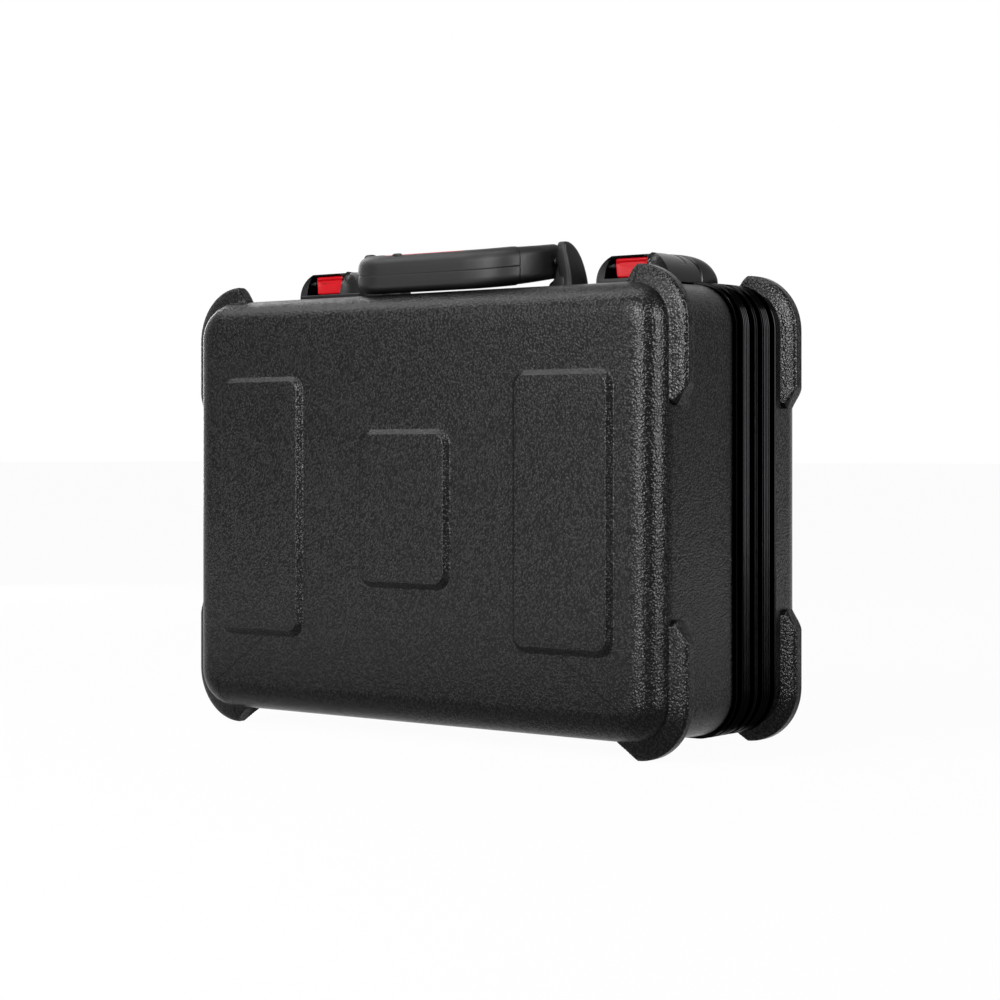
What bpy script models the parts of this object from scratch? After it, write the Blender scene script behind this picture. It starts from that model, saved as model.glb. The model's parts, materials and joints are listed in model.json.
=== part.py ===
"""A hard drum electronics case: a deep base and a shallow lid, each a moulded shell with corner
bumpers and a metal rail round its rim, hinged underneath, with a folding carry handle and two
trigger latches on top.

All driving sizes are in millimetres. x runs to the right, y runs back from the front plane,
and z runs up from the middle of the shell. The model is placed in metres with its origin on
the ground, below the middle of the case.
"""
import math

import bmesh
import bpy
import numpy as np
from mathutils import Matrix, Vector

# Overall shell
HALF_W = 240.7
HALF_H = 173.2
CORNER_R = 32.0
DEPTH = 215.0
PARTING = 135.0
PART_GAP = 0.15
WALL = 4.0
FRONT_R = 25.0
BACK_R = 27.0
DRAFT_OUT = 2.2
DRAFT_BASE_END = 104.0
DRAFT_LID_START = 166.0
DRAFT_LID_SLOPE = 0.037
GROUND = 187.0
CLEAR = 0.3

# Bumpers at the corners of each shell
BUMP_OUT = GROUND - HALF_H
BUMP_Y = (0.0, 1.4, 3.7, 6.4, 12.4, 15.1, 17.4, 18.8)
BUMP_F = (0.0, 0.384, 0.816, 1.0, 1.0, 0.816, 0.384, 0.0)
BASE_BUMP_START = 19.6
LID_BUMP_START = 175.1
BUMP_SIDE_END = 80.0
BUMP_SIDE_FULL = 96.0
BUMP_TOP_END = 199.0
BUMP_TOP_FULL = 205.5

# Raised pads on the front and the back
PAD_RISE = 4.5
PAD_R = 11.0
SIDE_PAD_X = 156.95
SIDE_PAD_W = 90.2
SIDE_PAD_H = 212.0
MID_PAD_W = 90.2
MID_PAD_H = 123.0

# Rails
RAIL_FRONT = 106.0
RAIL_OUT = 2.6
RAIL_BAND = 3.1
RAIL_LIP = 124.0
RIM = 128.5

# Hinges
HINGE_X = 140.0
HINGE_W = 60.0
HINGE_Z = -182.2
KNUCKLE_R = 3.2
HINGE_PIN_R = 1.3
LEAF_T = 1.5
LEAF_LEN = 25.0
RIVET_Y = 119.7
RIVET_R = 1.6

# Handle
PIVOT_Y = 82.0
PIVOT_Z = 198.3
GRIP_Y = 33.0
GRIP_Z = 191.2
GRIP_D = 29.0
GRIP_T = 31.0
GRIP_R = 9.5
GRIP_TURN = 59.5
BEND_X = 43.0
BEND_R = 34.5
BAR = 16.0
ARM_D = 14.0
ARM_END_R = 14.0
ARM_LESS = 0.6
BRACKET_IN = 100.0
BRACKET_OUT = 109.0
HANDLE_PIN_R = 4.0
BOLT_R = 2.2
BOLT_X = 97.0

# Latches
LATCH_X = 160.0
LATCH_W = 35.0
LATCH_FRONT = 86.0
LATCH_BACK = 160.6
LATCH_BASE = 178.0
LATCH_WALL = 2.5
WINDOW_L = -25.5
BAY_L = -24.0
BAY_R = 14.5
TRIGGER_Y = 93.5
TRIGGER_Z = 192.5
HOOK_Y = 112.0
HOOK_Z = 184.5
LATCH_PIN_R = 1.5
SCREW_R = 1.5

# Foam
POCKET_W = 330.0
POCKET_H = 230.0
POCKET_FRONT = 32.0
BASE_FOAM_END = 116.0
LID_FOAM_START = 155.0
FOAM_TOP = 163.8


def clear_scene():
    """Removes what a new file holds."""
    for obj in list(bpy.data.objects):
        bpy.data.objects.remove(obj, do_unlink=True)


def material(name, color, rough, metal=0.0):
    """A Principled material of one colour."""
    mat = bpy.data.materials.new(name)
    mat.use_nodes = True
    bsdf = mat.node_tree.nodes["Principled BSDF"]
    bsdf.inputs["Base Color"].default_value = (*color, 1.0)
    bsdf.inputs["Roughness"].default_value = rough
    bsdf.inputs["Metallic"].default_value = metal
    mat.diffuse_color = (*color, 1.0)
    return mat


def world(points):
    """Design millimetres to world metres."""
    pts = np.asarray(points, dtype=float).reshape(-1, 3)
    return (pts + (0.0, -DEPTH / 2, GROUND)) / 1000.0


def make(name, points, faces, angle=30.0):
    """An object from points in design millimetres."""
    mesh = bpy.data.meshes.new(name)
    mesh.from_pydata(world(points).tolist(), [], [list(f) for f in faces])
    bm = bmesh.new()
    bm.from_mesh(mesh)
    bmesh.ops.remove_doubles(bm, verts=bm.verts, dist=1e-6)
    bmesh.ops.recalc_face_normals(bm, faces=bm.faces)
    if bm.calc_volume(signed=True) < 0:
        bmesh.ops.reverse_faces(bm, faces=bm.faces)
    bmesh.ops.triangulate(bm, faces=[f for f in bm.faces if len(f.verts) > 4])
    bm.to_mesh(mesh)
    bm.free()
    obj = bpy.data.objects.new(name, mesh)
    bpy.context.scene.collection.objects.link(obj)
    mesh.shade_smooth()
    mesh.set_sharp_from_angle(angle=math.radians(angle))
    return obj


def hang(obj, pivot):
    """Moves an object's origin to a point on its joint's axis; its shape stays in place."""
    start = world([pivot])[0]
    obj.data.transform(Matrix.Translation(-Vector(start)))
    obj.location = start
    return obj


def paint(obj, mat):
    """Gives an object its one material."""
    obj.data.materials.clear()
    obj.data.materials.append(mat)
    return obj


def boolean(obj, tool, mode, angle=30.0):
    """Applies an exact boolean and removes the tool object."""
    bpy.context.view_layer.update()
    mod = obj.modifiers.new("Shape", "BOOLEAN")
    mod.operation = mode
    mod.solver = "EXACT"
    mod.object = tool
    graph = bpy.context.evaluated_depsgraph_get()
    mesh = bpy.data.meshes.new_from_object(obj.evaluated_get(graph))
    obj.modifiers.clear()
    obj.data = mesh
    mesh.name = obj.name
    bpy.data.objects.remove(tool, do_unlink=True)
    mesh.shade_smooth()
    mesh.set_sharp_from_angle(angle=math.radians(angle))
    return obj


def cut(obj, *tools):
    """Takes each tool's shape out of the object."""
    for tool in tools:
        boolean(obj, tool, "DIFFERENCE")
    return obj


def fuse(obj, *tools):
    """Adds each tool's shape to the object."""
    for tool in tools:
        boolean(obj, tool, "UNION")
    return obj


def keep(obj, *tools):
    """Keeps what the object shares with each tool."""
    for tool in tools:
        boolean(obj, tool, "INTERSECT")
    return obj


def loft(name, rings, closed=False, angle=30.0):
    """A skin over equal rings of points, capped at both ends or closed on itself."""
    count = len(rings[0])
    points = np.concatenate([np.asarray(r, dtype=float) for r in rings])
    faces = []
    spans = len(rings) if closed else len(rings) - 1
    for i in range(spans):
        a = i * count
        b = ((i + 1) % len(rings)) * count
        for j in range(count):
            k = (j + 1) % count
            faces.append((a + j, a + k, b + k, b + j))
    if not closed:
        faces.append(tuple(range(count))[::-1])
        faces.append(tuple((len(rings) - 1) * count + j for j in range(count)))
    return make(name, points, faces, angle)


def place(axis, pairs, level):
    """Puts pairs of the other two coordinates at one level of an axis."""
    pts = np.zeros((len(pairs), 3))
    rest = [i for i in range(3) if i != axis]
    pts[:, rest] = np.asarray(pairs, dtype=float)
    pts[:, axis] = level
    return pts


def prism(name, axis, outline, low, high):
    """An outline in the other two coordinates, drawn out along one axis."""
    return loft(name, [place(axis, outline, low), place(axis, outline, high)])


def box(name, low, high):
    """A rectangular block between two corners."""
    outline = [(low[1], low[2]), (high[1], low[2]), (high[1], high[2]), (low[1], high[2])]
    return prism(name, 0, outline, low[0], high[0])


def circle(a, b, radius, count=20, start=0.0):
    """Points round a circle."""
    turn = start + np.arange(count) * 2 * math.pi / count
    return np.stack([a + radius * np.cos(turn), b + radius * np.sin(turn)], axis=1)


def rod(name, axis, centre, radius, low, high, count=16):
    """A round bar along one axis; centre holds the other two coordinates."""
    return prism(name, axis, circle(centre[0], centre[1], radius, count), low, high)


def turned(name, axis, centre, profile, count=12):
    """A bar of changing radius: profile lists levels and radii."""
    rings = [place(axis, circle(centre[0], centre[1], r, count), level) for level, r in profile]
    return loft(name, rings)


def round_rect(half_a, half_b, radius, steps=5, centre=(0.0, 0.0)):
    """A rectangle with round corners."""
    points = []
    for i, (sa, sb) in enumerate(((1, 1), (-1, 1), (-1, -1), (1, -1))):
        for t in np.linspace(i * 90.0, i * 90.0 + 90.0, steps + 1):
            angle = math.radians(t)
            points.append((
                centre[0] + sa * (half_a - radius) + radius * math.cos(angle),
                centre[1] + sb * (half_b - radius) + radius * math.sin(angle),
            ))
    return np.array(points)


# Shells

CORNER_STEPS = 6
SIDE_MARKS = ((BUMP_SIDE_END, 0.0), (84.5, 0.35), (90.0, 0.78), (BUMP_SIDE_FULL, 1.0))
TOP_MARKS = ((BUMP_TOP_FULL, 1.0), (202.2, 0.62), (BUMP_TOP_END, 0.0))


def inset(radius, distance):
    """How far a round edge has drawn in at a distance from the flat face."""
    if distance >= radius:
        return 0.0
    return radius - math.sqrt(max(0.0, radius ** 2 - (radius - distance) ** 2))


def base_offset(y, wall=0.0):
    """The base skin's offset from the front outline, or its inner skin's."""
    draft = DRAFT_OUT * min(y, DRAFT_BASE_END) / DRAFT_BASE_END
    return draft - wall - inset(FRONT_R - wall, y - wall)


def lid_offset(y, wall=0.0):
    """The lid skin's offset from the front outline, or its inner skin's."""
    draft = DRAFT_OUT - DRAFT_LID_SLOPE * max(0.0, y - DRAFT_LID_START)
    return draft - wall - inset(BACK_R - wall, DEPTH - y - wall)


def ring(y, offset, push=0.0, marks=True, inner=False):
    """Points round the shell at one depth: offset everywhere, pushed out at the corners."""
    cx = HALF_W - CORNER_R
    cz = HALF_H - CORNER_R
    quarter = []
    if marks:
        quarter += [(HALF_W, z, 1.0, 0.0, m) for z, m in SIDE_MARKS]
    for angle in np.linspace(0.0, math.pi / 2, CORNER_STEPS + 1):
        c, s = math.cos(angle), math.sin(angle)
        quarter.append((cx + CORNER_R * c, cz + CORNER_R * s, c, s, 1.0))
    if marks:
        quarter += [(x, HALF_H, 0.0, 1.0, m) for x, m in TOP_MARKS]
    quarter = np.array(quarter)
    mask = quarter[:, 4]
    if inner:
        mask = np.clip(mask * 1.6 - 0.6, 0.0, 1.0)
    out = offset + push * mask
    x = quarter[:, 0] + quarter[:, 2] * out
    z = quarter[:, 1] + quarter[:, 3] * out
    xs = np.concatenate([x, -x[::-1], -x, x[::-1]])
    zs = np.concatenate([z, z[::-1], -z, -z[::-1]])
    return np.stack([xs, np.full(len(xs), y), zs], axis=1)


def skin(offset_at, depths, bump_start, inner):
    """Rings of one skin from its face to its rim, with the bumper's steps put in."""
    wall = WALL if inner else 0.0
    steps = {y: 0.0 for y in depths}
    if inner:
        groove = ((3.9, 0.0), (6.4, 0.55), (8.4, 1.0), (10.4, 1.0), (12.4, 0.55), (14.9, 0.0))
        steps.update({bump_start + y: f for y, f in groove})
    else:
        steps.update({bump_start + y: f for y, f in zip(BUMP_Y, BUMP_F)})
    rings = []
    for y in sorted(steps):
        offset = offset_at(y, wall)
        reach = BUMP_OUT - offset - (4.5 if inner else 0.0)
        rings.append(ring(y, offset, steps[y] * reach, inner=inner))
    return rings


def pad_outline(width, height, grow, centre):
    """One pad's round-cornered outline, grown by an amount."""
    return round_rect(width / 2 + grow, height / 2 + grow, PAD_R + grow, 4, (centre, 0.0))


def pads(name, back=False):
    """The raised pads, and the hollows that keep their wall even."""
    slots = (
        (SIDE_PAD_W, SIDE_PAD_H, -SIDE_PAD_X),
        (MID_PAD_W, MID_PAD_H, 0.0),
        (SIDE_PAD_W, SIDE_PAD_H, SIDE_PAD_X),
    )
    raised = []
    hollow = []
    for i, (width, height, centre) in enumerate(slots):
        for kind, levels, shift, bag in (
            ("Rise", (1.0, -PAD_RISE), 2.25, raised),
            ("Hollow", (6.0, -PAD_RISE + WALL), 2.25 - WALL * math.sqrt(2), hollow),
        ):
            rings = []
            for y in levels:
                place_y = DEPTH - y if back else y
                outline = pad_outline(width, height, y + shift, centre)
                rings.append(place(1, outline, place_y))
            bag.append(loft(f"{name}{kind}{i}", rings))
    return raised, hollow


def round_depths(radius, end):
    """Depths that follow a round edge evenly, then the end."""
    turns = np.linspace(0.0, math.pi / 2, 5)
    return [radius * (1 - math.cos(t)) for t in turns[:-1]] + [end]


def base_shell():
    """The moulded base: an open box with bumpers and pads."""
    outer = round_depths(FRONT_R, DRAFT_BASE_END) + [RIM]
    inner = [WALL + y for y in round_depths(FRONT_R - WALL, DRAFT_BASE_END - WALL)] + [RIM]
    rings = skin(base_offset, outer, BASE_BUMP_START, False)
    rings += skin(base_offset, inner, BASE_BUMP_START, True)[::-1]
    obj = loft("base_shell", rings, angle=28)
    raised, hollow = pads("base")
    fuse(obj, *raised)
    return cut(obj, *hollow)


def lid_shell():
    """The moulded lid, with the same bumpers and pads on its back."""
    rim = 2 * PARTING - RIM
    outer = [DEPTH - y for y in round_depths(BACK_R, DEPTH - DRAFT_LID_START)] + [rim]
    inner = [DEPTH - WALL - y for y in round_depths(BACK_R - WALL, 45.0)] + [rim]
    rings = skin(lid_offset, outer, LID_BUMP_START, False)[::-1]
    rings += skin(lid_offset, inner, LID_BUMP_START, True)
    obj = loft("lid_shell", rings, angle=28)
    raised, hollow = pads("lid", back=True)
    fuse(obj, *raised)
    return cut(obj, *hollow)


def rail_section(tongue):
    """The rail's section as depths and offsets: a channel over the rim with a joint face."""
    s = DRAFT_OUT
    edge = PARTING - PART_GAP
    face = [(edge, s - 0.4), (131.6, s - 0.4), (131.6, s - 3.2), (edge, s - 3.2)]
    if tongue:
        face = [(edge, s - 1.0), (137.4, s - 1.0), (137.4, s - 2.6), (edge, s - 2.6)]
    return [
        (RAIL_FRONT, s + CLEAR), (RAIL_FRONT, s + 2.2), (RAIL_FRONT + 0.6, s + RAIL_OUT),
        (114.2, s + RAIL_OUT), (114.7, s + RAIL_BAND), (125.3, s + RAIL_BAND),
        (125.8, s + RAIL_OUT), (edge, s + RAIL_OUT), *face, (edge, s - WALL - 2.0),
        (RAIL_LIP, s - WALL - 2.0), (RAIL_LIP, s - WALL - CLEAR),
        (RIM + CLEAR, s - WALL - CLEAR), (RIM + CLEAR, s + CLEAR),
    ]


def rail(name, lid):
    """One rail round a rim."""
    rings = []
    for y, offset in rail_section(lid):
        rings.append(ring(2 * PARTING - y if lid else y, offset, marks=False))
    return loft(name, rings, closed=True, angle=28)


# Hinges

def mirror_y(y, lid):
    """A depth on the base, or its place on the lid."""
    return 2 * PARTING - y if lid else y


def leaf(name, centre, lid):
    """One hinge leaf: a plate under the rail and its knuckles round the pin."""
    half = HINGE_W / 2
    third = HINGE_W / 6
    top = HINGE_Z + 3.5
    ends = sorted((mirror_y(PARTING - LEAF_LEN, lid), mirror_y(PARTING - 3.8, lid)))
    plate = box(name, (centre - half, ends[0], top - LEAF_T), (centre + half, ends[1], top))
    spans = [(-half, -third - 0.15), (third + 0.15, half)]
    if lid:
        spans = [(-third + 0.15, third - 0.15)]
    for i, (low, high) in enumerate(spans):
        y0, y1 = sorted((mirror_y(PARTING - 5.0, lid), PARTING))
        bridge = box(f"Bridge{i}", (centre + low, y0, top - LEAF_T), (centre + high, y1, top))
        axis = (PARTING, HINGE_Z)
        knuckle = rod(f"Knuckle{i}", 0, axis, KNUCKLE_R, centre + low, centre + high)
        fuse(plate, fuse(bridge, knuckle))
    bore = rod("Bore", 0, (PARTING, HINGE_Z), HINGE_PIN_R + CLEAR, centre - 40, centre + 40, 12)
    cut(plate, bore)
    return cut(plate, *rivet_holes(centre, lid))


def rivet_spots(centre, lid):
    """Where a leaf's two rivets stand, as x and y."""
    return [(centre + side * HINGE_W / 3, mirror_y(RIVET_Y, lid)) for side in (-1, 1)]


def rivet_holes(centre, lid):
    """Tools that clear a leaf's two rivets."""
    spots = rivet_spots(centre, lid)
    return [rod("Hole", 2, spot, RIVET_R + CLEAR, -186.0, -165.0, 10) for spot in spots]


def rivets(side, centre, lid):
    """A leaf's rivets, from the leaf through the rail and the shell."""
    outer = HINGE_Z + 3.5 - LEAF_T - CLEAR
    inner = -(HALF_H + DRAFT_OUT - WALL) + CLEAR
    profile = (
        (outer - 1.1, 2.0), (outer - 0.7, 3.0), (outer, 3.0), (outer, RIVET_R),
        (inner, RIVET_R), (inner, 3.0), (inner + 1.0, 2.4),
    )
    part = "lid" if lid else "base"
    made = []
    for n, spot in enumerate(rivet_spots(centre, lid), 1):
        made.append(turned(f"hinge_{side}_{part}_rivet_{n}", 2, spot, profile, 10))
    return made


def hinge_pin(side, centre):
    """The pin that both leaves turn on."""
    reach = HINGE_W / 2 + 0.4
    return rod(f"hinge_{side}_pin", 0, (PARTING, HINGE_Z), HINGE_PIN_R,
               centre - reach, centre + reach, 12)


# Handle

def rise(y):
    """The handle's height over its grip at a depth: it slopes up to the pivots."""
    return (PIVOT_Z - GRIP_Z) * (y - GRIP_Y) / (PIVOT_Y - GRIP_Y)


def bend(side, turn, outline, out=0.0):
    """A section of the handle at a turn round one bend; outline holds offsets outward and up."""
    angle = math.radians(min(turn, 90.0))
    reach = BEND_R + out + outline[:, 0]
    x = BEND_X + reach * math.sin(angle)
    y = GRIP_Y + BEND_R - reach * math.cos(angle) + max(0.0, turn - 90.0)
    return np.stack([side * x, y, GRIP_Z + rise(y) + outline[:, 1]], axis=1)


def bow(name, turns, outline_at):
    """A bar along the handle's bow, from the left end round to the right end."""
    rings = [bend(-1, turn, outline_at(turn)) for turn in turns[::-1]]
    return loft(name, rings + [bend(1, turn, outline_at(turn)) for turn in turns])


def handle_arm(side):
    """One arm, from the end of the grip back to the pivot."""
    back = PIVOT_Y - GRIP_Y - BEND_R
    marks = ((GRIP_TURN + 1, 28.4), (66, 26.0), (74, 22.4), (82, 19.0), (90, 16.4), (95, 14.8))
    marks += ((99, ARM_D), (90 + back, ARM_D))
    marks += tuple((90 + back + ARM_END_R * math.sin(math.radians(t)), ARM_D) for t in (25, 45, 62, 76, 86))
    rings = []
    for turn, depth in marks:
        along = max(0.0, turn - 90.0 - back)
        taper = min(1.0, (turn - GRIP_TURN) / (90.0 + back - GRIP_TURN))
        high = GRIP_T / 2 - ARM_LESS + (ARM_END_R + ARM_LESS - GRIP_T / 2) * taper
        high = math.sqrt(high ** 2 - along ** 2)
        radius = min(GRIP_R - ARM_LESS + (4.5 - GRIP_R) * taper, high - 0.1)
        out = (GRIP_D - depth) / 2 - ARM_LESS * (1.0 - taper)
        rings.append(bend(side, turn, round_rect(depth / 2, high, radius, 4), out))
        if along:
            rings[-1][:, 2] -= rise(rings[-1][:, 1]) - rise(PIVOT_Y)
    arm = loft(f"Arm{side}", rings)
    bore = HANDLE_PIN_R + CLEAR
    return cut(arm, rod("Bore", 0, (PIVOT_Y, PIVOT_Z), bore, side * 70, side * 105, 16))


def handle_core():
    """The stiff core: the bar inside the grip and both arms."""
    bar = bow("handle_core", (0, 12, 24, 36, 48, 63), lambda turn: round_rect(BAR / 2, BAR / 2, 2.0, 2))
    return fuse(bar, handle_arm(-1), handle_arm(1))


def inlay_section(grow, top):
    """The inlay's section in y and z, following the slope of the grip's top."""
    level = GRIP_Z + GRIP_T / 2
    low, high = 26.9 - grow, 29.3 + grow
    floor = level - 1.2 - grow
    return [(low, floor + rise(low)), (high, floor + rise(high)),
            (high, level + top + rise(high)), (low, level + top + rise(low))]


def handle_grip():
    """The rubber sleeve on the bar, with a channel for the inlay."""
    ends = {GRIP_TURN: 1.5, GRIP_TURN - 0.9: 0.5, GRIP_TURN - 3.0: 0.0}
    turns = (0, 12, 24, 36, 47) + tuple(sorted(ends))

    def outline(turn):
        less = ends.get(turn, 0.0)
        return round_rect(GRIP_D / 2 - less, GRIP_T / 2 - less, GRIP_R - less / 2, 4)

    sleeve = bow("handle_grip", turns, outline)
    half = BAR / 2 + CLEAR
    bore = bow("Bore", (0, 12, 24, 36, 48, 63), lambda turn: round_rect(half, half, 2.0 + CLEAR, 2))
    return cut(sleeve, bore, prism("Channel", 0, inlay_section(0.3, 2.0), -42.3, 42.3))


def handle_inlay():
    """The thin strip let into the top of the grip."""
    return prism("handle_inlay", 0, inlay_section(0.0, 0.1), -42.0, 42.0)


def bolt_spots(side):
    """Where one bracket's bolts stand, as x and y."""
    return [(side * BOLT_X, 82.5), (side * BOLT_X, 96.0)]


def bolt_holes(side, top):
    """Tools that clear one bracket's bolts up to a height."""
    return [rod("Hole", 2, s, BOLT_R + CLEAR, 150.0, top, 12) for s in bolt_spots(side)]


def bracket(name, side):
    """A bracket: an upright cheek that leans forward, a foot and a boss for the pin."""
    foot_z = 175.7
    outline = [
        (75.6, foot_z), (102.3, foot_z), (101.9, 181.4), (98.9, 190.5), (95.3, 199.7), (91.8, 205.2),
        (87.4, 209.4), (82.0, 212.3), (77.2, 213.5), (73.9, 212.6), (72.0, 210.2), (71.6, 206.6),
        (72.6, 197.0), (74.3, 186.0),
    ]
    cheek = prism(name, 0, outline, side * BRACKET_IN, side * BRACKET_OUT)
    flare = [(101.0, foot_z), (87.6, foot_z), (87.6, 181.2), (92.0, 183.6), (97.5, 185.3), (101.0, 189.5)]
    foot = prism("Foot", 1, [(side * x, z) for x, z in flare], 76.2, 101.6)
    boss = rod("Boss", 0, (PIVOT_Y, PIVOT_Z), 8.0, side * 92.6, side * 101.0, 16)
    fuse(cheek, foot, boss)
    cut(cheek, rod("Bore", 0, (PIVOT_Y, PIVOT_Z), HANDLE_PIN_R + CLEAR, side * 85, side * 106, 16))
    return cut(cheek, *bolt_holes(side, 182.6))


def handle_pin(name, side):
    """The pin through an arm into its bracket."""
    profile = [(77.4, 3.4), (78.0, HANDLE_PIN_R), (105.0, HANDLE_PIN_R), (105.6, 3.4)]
    profile = [(side * x, r) for x, r in profile]
    return turned(name, 0, (PIVOT_Y, PIVOT_Z), profile, 16)


def backing_plate(name, side):
    """The plate inside the shell that spreads a bracket's load."""
    x0, x1 = sorted((side * 88.0, side * 108.0))
    plate = box(name, (x0, 75.5, 168.0), (x1, 102.5, 170.5))
    return cut(plate, *bolt_holes(side, 175.0))


def bolts(label, side):
    """Two bolts up through the plate and the shell into the bracket's foot."""
    profile = ((164.6, 3.6), (165.0, 4.2), (167.7, 4.2), (167.7, BOLT_R), (182.1, BOLT_R))
    spots = bolt_spots(side)
    return [turned(f"handle_bolt_{label}_{n}", 2, s, profile) for n, s in enumerate(spots, 1)]


# Latches

HOUSING_ROWS = (
    (86.0, 34.2, 24.9, 2.3), (86.8, 35.0, 25.4, 2.3), (120.0, 35.0, 25.5, 2.3), (134.6, 35.0, 25.5, 2.3),
)
KEEPER_ROWS = (
    (135.4, 35.0, 25.5, 2.5), (139.6, 35.0, 25.35, 2.8), (145.0, 35.0, 24.6, 3.2),
    (150.0, 35.0, 22.6, 3.5), (154.0, 35.0, 19.5, 3.8), (157.0, 34.9, 15.4, 4.0),
    (159.0, 34.5, 10.7, 4.1), (160.2, 32.9, 5.5, 4.2), (160.6, 31.0, 2.5, 4.2),
)


def arch(centre, y, half, height, power, bottom, count=17):
    """A dome's cross-section, from one foot over the top to the other."""
    low = max(0.0, bottom - LATCH_BASE)
    start = math.asin((low / height) ** (power / 2))
    points = []
    for t in np.linspace(start, math.pi - start, count):
        c, s = math.cos(t), math.sin(t)
        u = half * math.copysign(abs(c) ** (2 / power), c)
        points.append((centre + u, y, LATCH_BASE + height * max(s, 0.0) ** (2 / power)))
    if bottom < LATCH_BASE:
        points = [(centre + half, y, bottom)] + points + [(centre - half, y, bottom)]
    return points


def dome(name, centre, rows, bottom, less=0.0):
    """A dome lofted through its cross-sections, or the space inside it."""
    return loft(name, [arch(centre, y, w - less, h - less, p, bottom) for y, w, h, p in rows])


def hollow(name, centre, rows, low, high, reach):
    """The space inside a dome between two upright planes."""
    inside = dome(name, centre, rows, 165.0, LATCH_WALL)
    slab = box("Slab", (centre + low, reach[0], 160.0), (centre + high, reach[1], 210.0))
    return keep(inside, slab)


def latch_pin_holes(centre, spot):
    """A tool for a cross pin, blind at both ends."""
    radius = LATCH_PIN_R + CLEAR
    return rod("Hole", 0, spot, radius, centre + BAY_L - 1.8, centre + BAY_R + 1.6, 12)


def screw_spots(centre):
    """Where one housing's screws stand, as x and y."""
    return [(centre - 29.5, 98.0), (centre + 31.0, 98.0)]


def keeper_spots(centre):
    """Where one keeper's screws stand, as x and y."""
    return [(centre - 29.3, 150.3), (centre + 29.3, 150.3)]


def screw_holes(spots, top):
    """Tools that clear screws up to a height."""
    return [rod("Hole", 2, s, SCREW_R + CLEAR, 160.0, top, 10) for s in spots]


def housing(name, centre):
    """The front dome: a window, a bay for the trigger and hook, open at the back."""
    body = dome(name, centre, HOUSING_ROWS, 175.7)
    inside = [(88.5, *HOUSING_ROWS[1][1:]), (137.0, *HOUSING_ROWS[-1][1:])]
    cut(body, hollow("Bay", centre, inside, BAY_L, BAY_R, (80.0, 140.0)))
    cut(body, hollow("Side", centre, inside, BAY_R + 2.5, 27.0, (80.0, 140.0)))
    window = [
        (WINDOW_L, 181.0), (BAY_R, 181.0), (BAY_R, 199.6), (-11.5, 199.6), (-18.5, 198.0),
        (-23.0, 194.5), (WINDOW_L, 189.5),
    ]
    cut(body, prism("Window", 1, [(centre + u, z) for u, z in window], 80.0, 89.5))
    cut(body, box("Step", (centre - 40, 105.4, 150.0), (centre + 40, 140.0, 178.8)))
    cut(body, latch_pin_holes(centre, (TRIGGER_Y, TRIGGER_Z)))
    cut(body, latch_pin_holes(centre, (HOOK_Y, HOOK_Z)))
    return cut(body, *screw_holes(screw_spots(centre), 186.0))


def trigger(name, centre):
    """The trigger: a concave finger plate on the pin, with a heel behind it."""
    front = [(90.2, 198.6), (90.4, 196.0), (90.6, 193.0), (91.5, 190.0), (91.9, 187.5),
             (91.4, 184.8), (90.4, 182.9)]
    back = [(93.4, 182.9), (94.9, 186.5), (96.2, 190.0), (96.6, 193.5), (95.4, 196.0), (94.0, 198.6)]
    left = []
    right = []
    for y, z in front + back:
        drop = (198.6 - z) / 15.7
        shoulder = 4.3 if z > 197.5 else 0.0
        left.append((centre - 18.3 + 1.5 * drop + shoulder, y, z))
        right.append((centre + 12.9 - 2.3 * drop, y, z))
    body = loft(name, [left, right])
    fuse(body, box("Heel", (centre - 5.0, 94.0, 184.6), (centre + 5.0, 98.6, 187.6)))
    return cut(body, rod("Bore", 0, (TRIGGER_Y, TRIGGER_Z), LATCH_PIN_R + CLEAR, centre - 30, centre + 30, 12))


def cross_pin(name, centre, spot):
    """A pin across the bay."""
    return rod(name, 0, spot, LATCH_PIN_R, centre + BAY_L - 1.4, centre + BAY_R + 1.2, 12)


def spring(name, centre):
    """The wire spring beside the trigger, with one leg down and one leg back."""
    mean, wire, turns, per_turn = 2.25, 0.38, 2.5, 12
    start = centre - 21.2
    pitch = 0.9
    steps = int(turns * per_turn)
    path = [(start, TRIGGER_Y + 6.5, TRIGGER_Z + mean)]
    for i in range(steps + 1):
        t = math.pi / 2 + i * 2 * math.pi / per_turn
        path.append((
            start + pitch * i / per_turn,
            TRIGGER_Y - mean * math.cos(t),
            TRIGGER_Z + mean * math.sin(t),
        ))
    end = path[-1]
    path.append((end[0], end[1] + 6.0, end[2]))
    curve = bpy.data.curves.new(name, "CURVE")
    curve.dimensions = "3D"
    curve.bevel_depth = wire / 1000.0
    curve.bevel_resolution = 1
    curve.use_fill_caps = True
    line = curve.splines.new("POLY")
    line.points.add(len(path) - 1)
    for point, spot in zip(line.points, world(path)):
        point.co = (*spot, 1.0)
    guide = bpy.data.objects.new("Guide", curve)
    bpy.context.scene.collection.objects.link(guide)
    bpy.context.view_layer.update()
    mesh = bpy.data.meshes.new_from_object(guide.evaluated_get(bpy.context.evaluated_depsgraph_get()))
    bpy.data.objects.remove(guide, do_unlink=True)
    obj = bpy.data.objects.new(name, mesh)
    bpy.context.scene.collection.objects.link(obj)
    mesh.shade_smooth()
    return obj


def hook(name, centre):
    """The hook: an arm on its pin whose barb stands behind the keeper's lip."""
    side = [
        (102.4, 185.2), (108.6, 182.6), (112.0, 180.9), (115.4, 183.3), (141.6, 183.5),
        (141.8, 186.5), (141.0, 189.0), (138.6, 189.0), (138.6, 187.2), (116.0, 187.2),
        (112.0, 188.1), (108.0, 188.0), (102.4, 188.0),
    ]
    body = prism(name, 0, side, centre - 5.0, centre + 5.0)
    return cut(body, rod("Bore", 0, (HOOK_Y, HOOK_Z), LATCH_PIN_R + CLEAR, centre - 9, centre + 9, 12))


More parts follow.
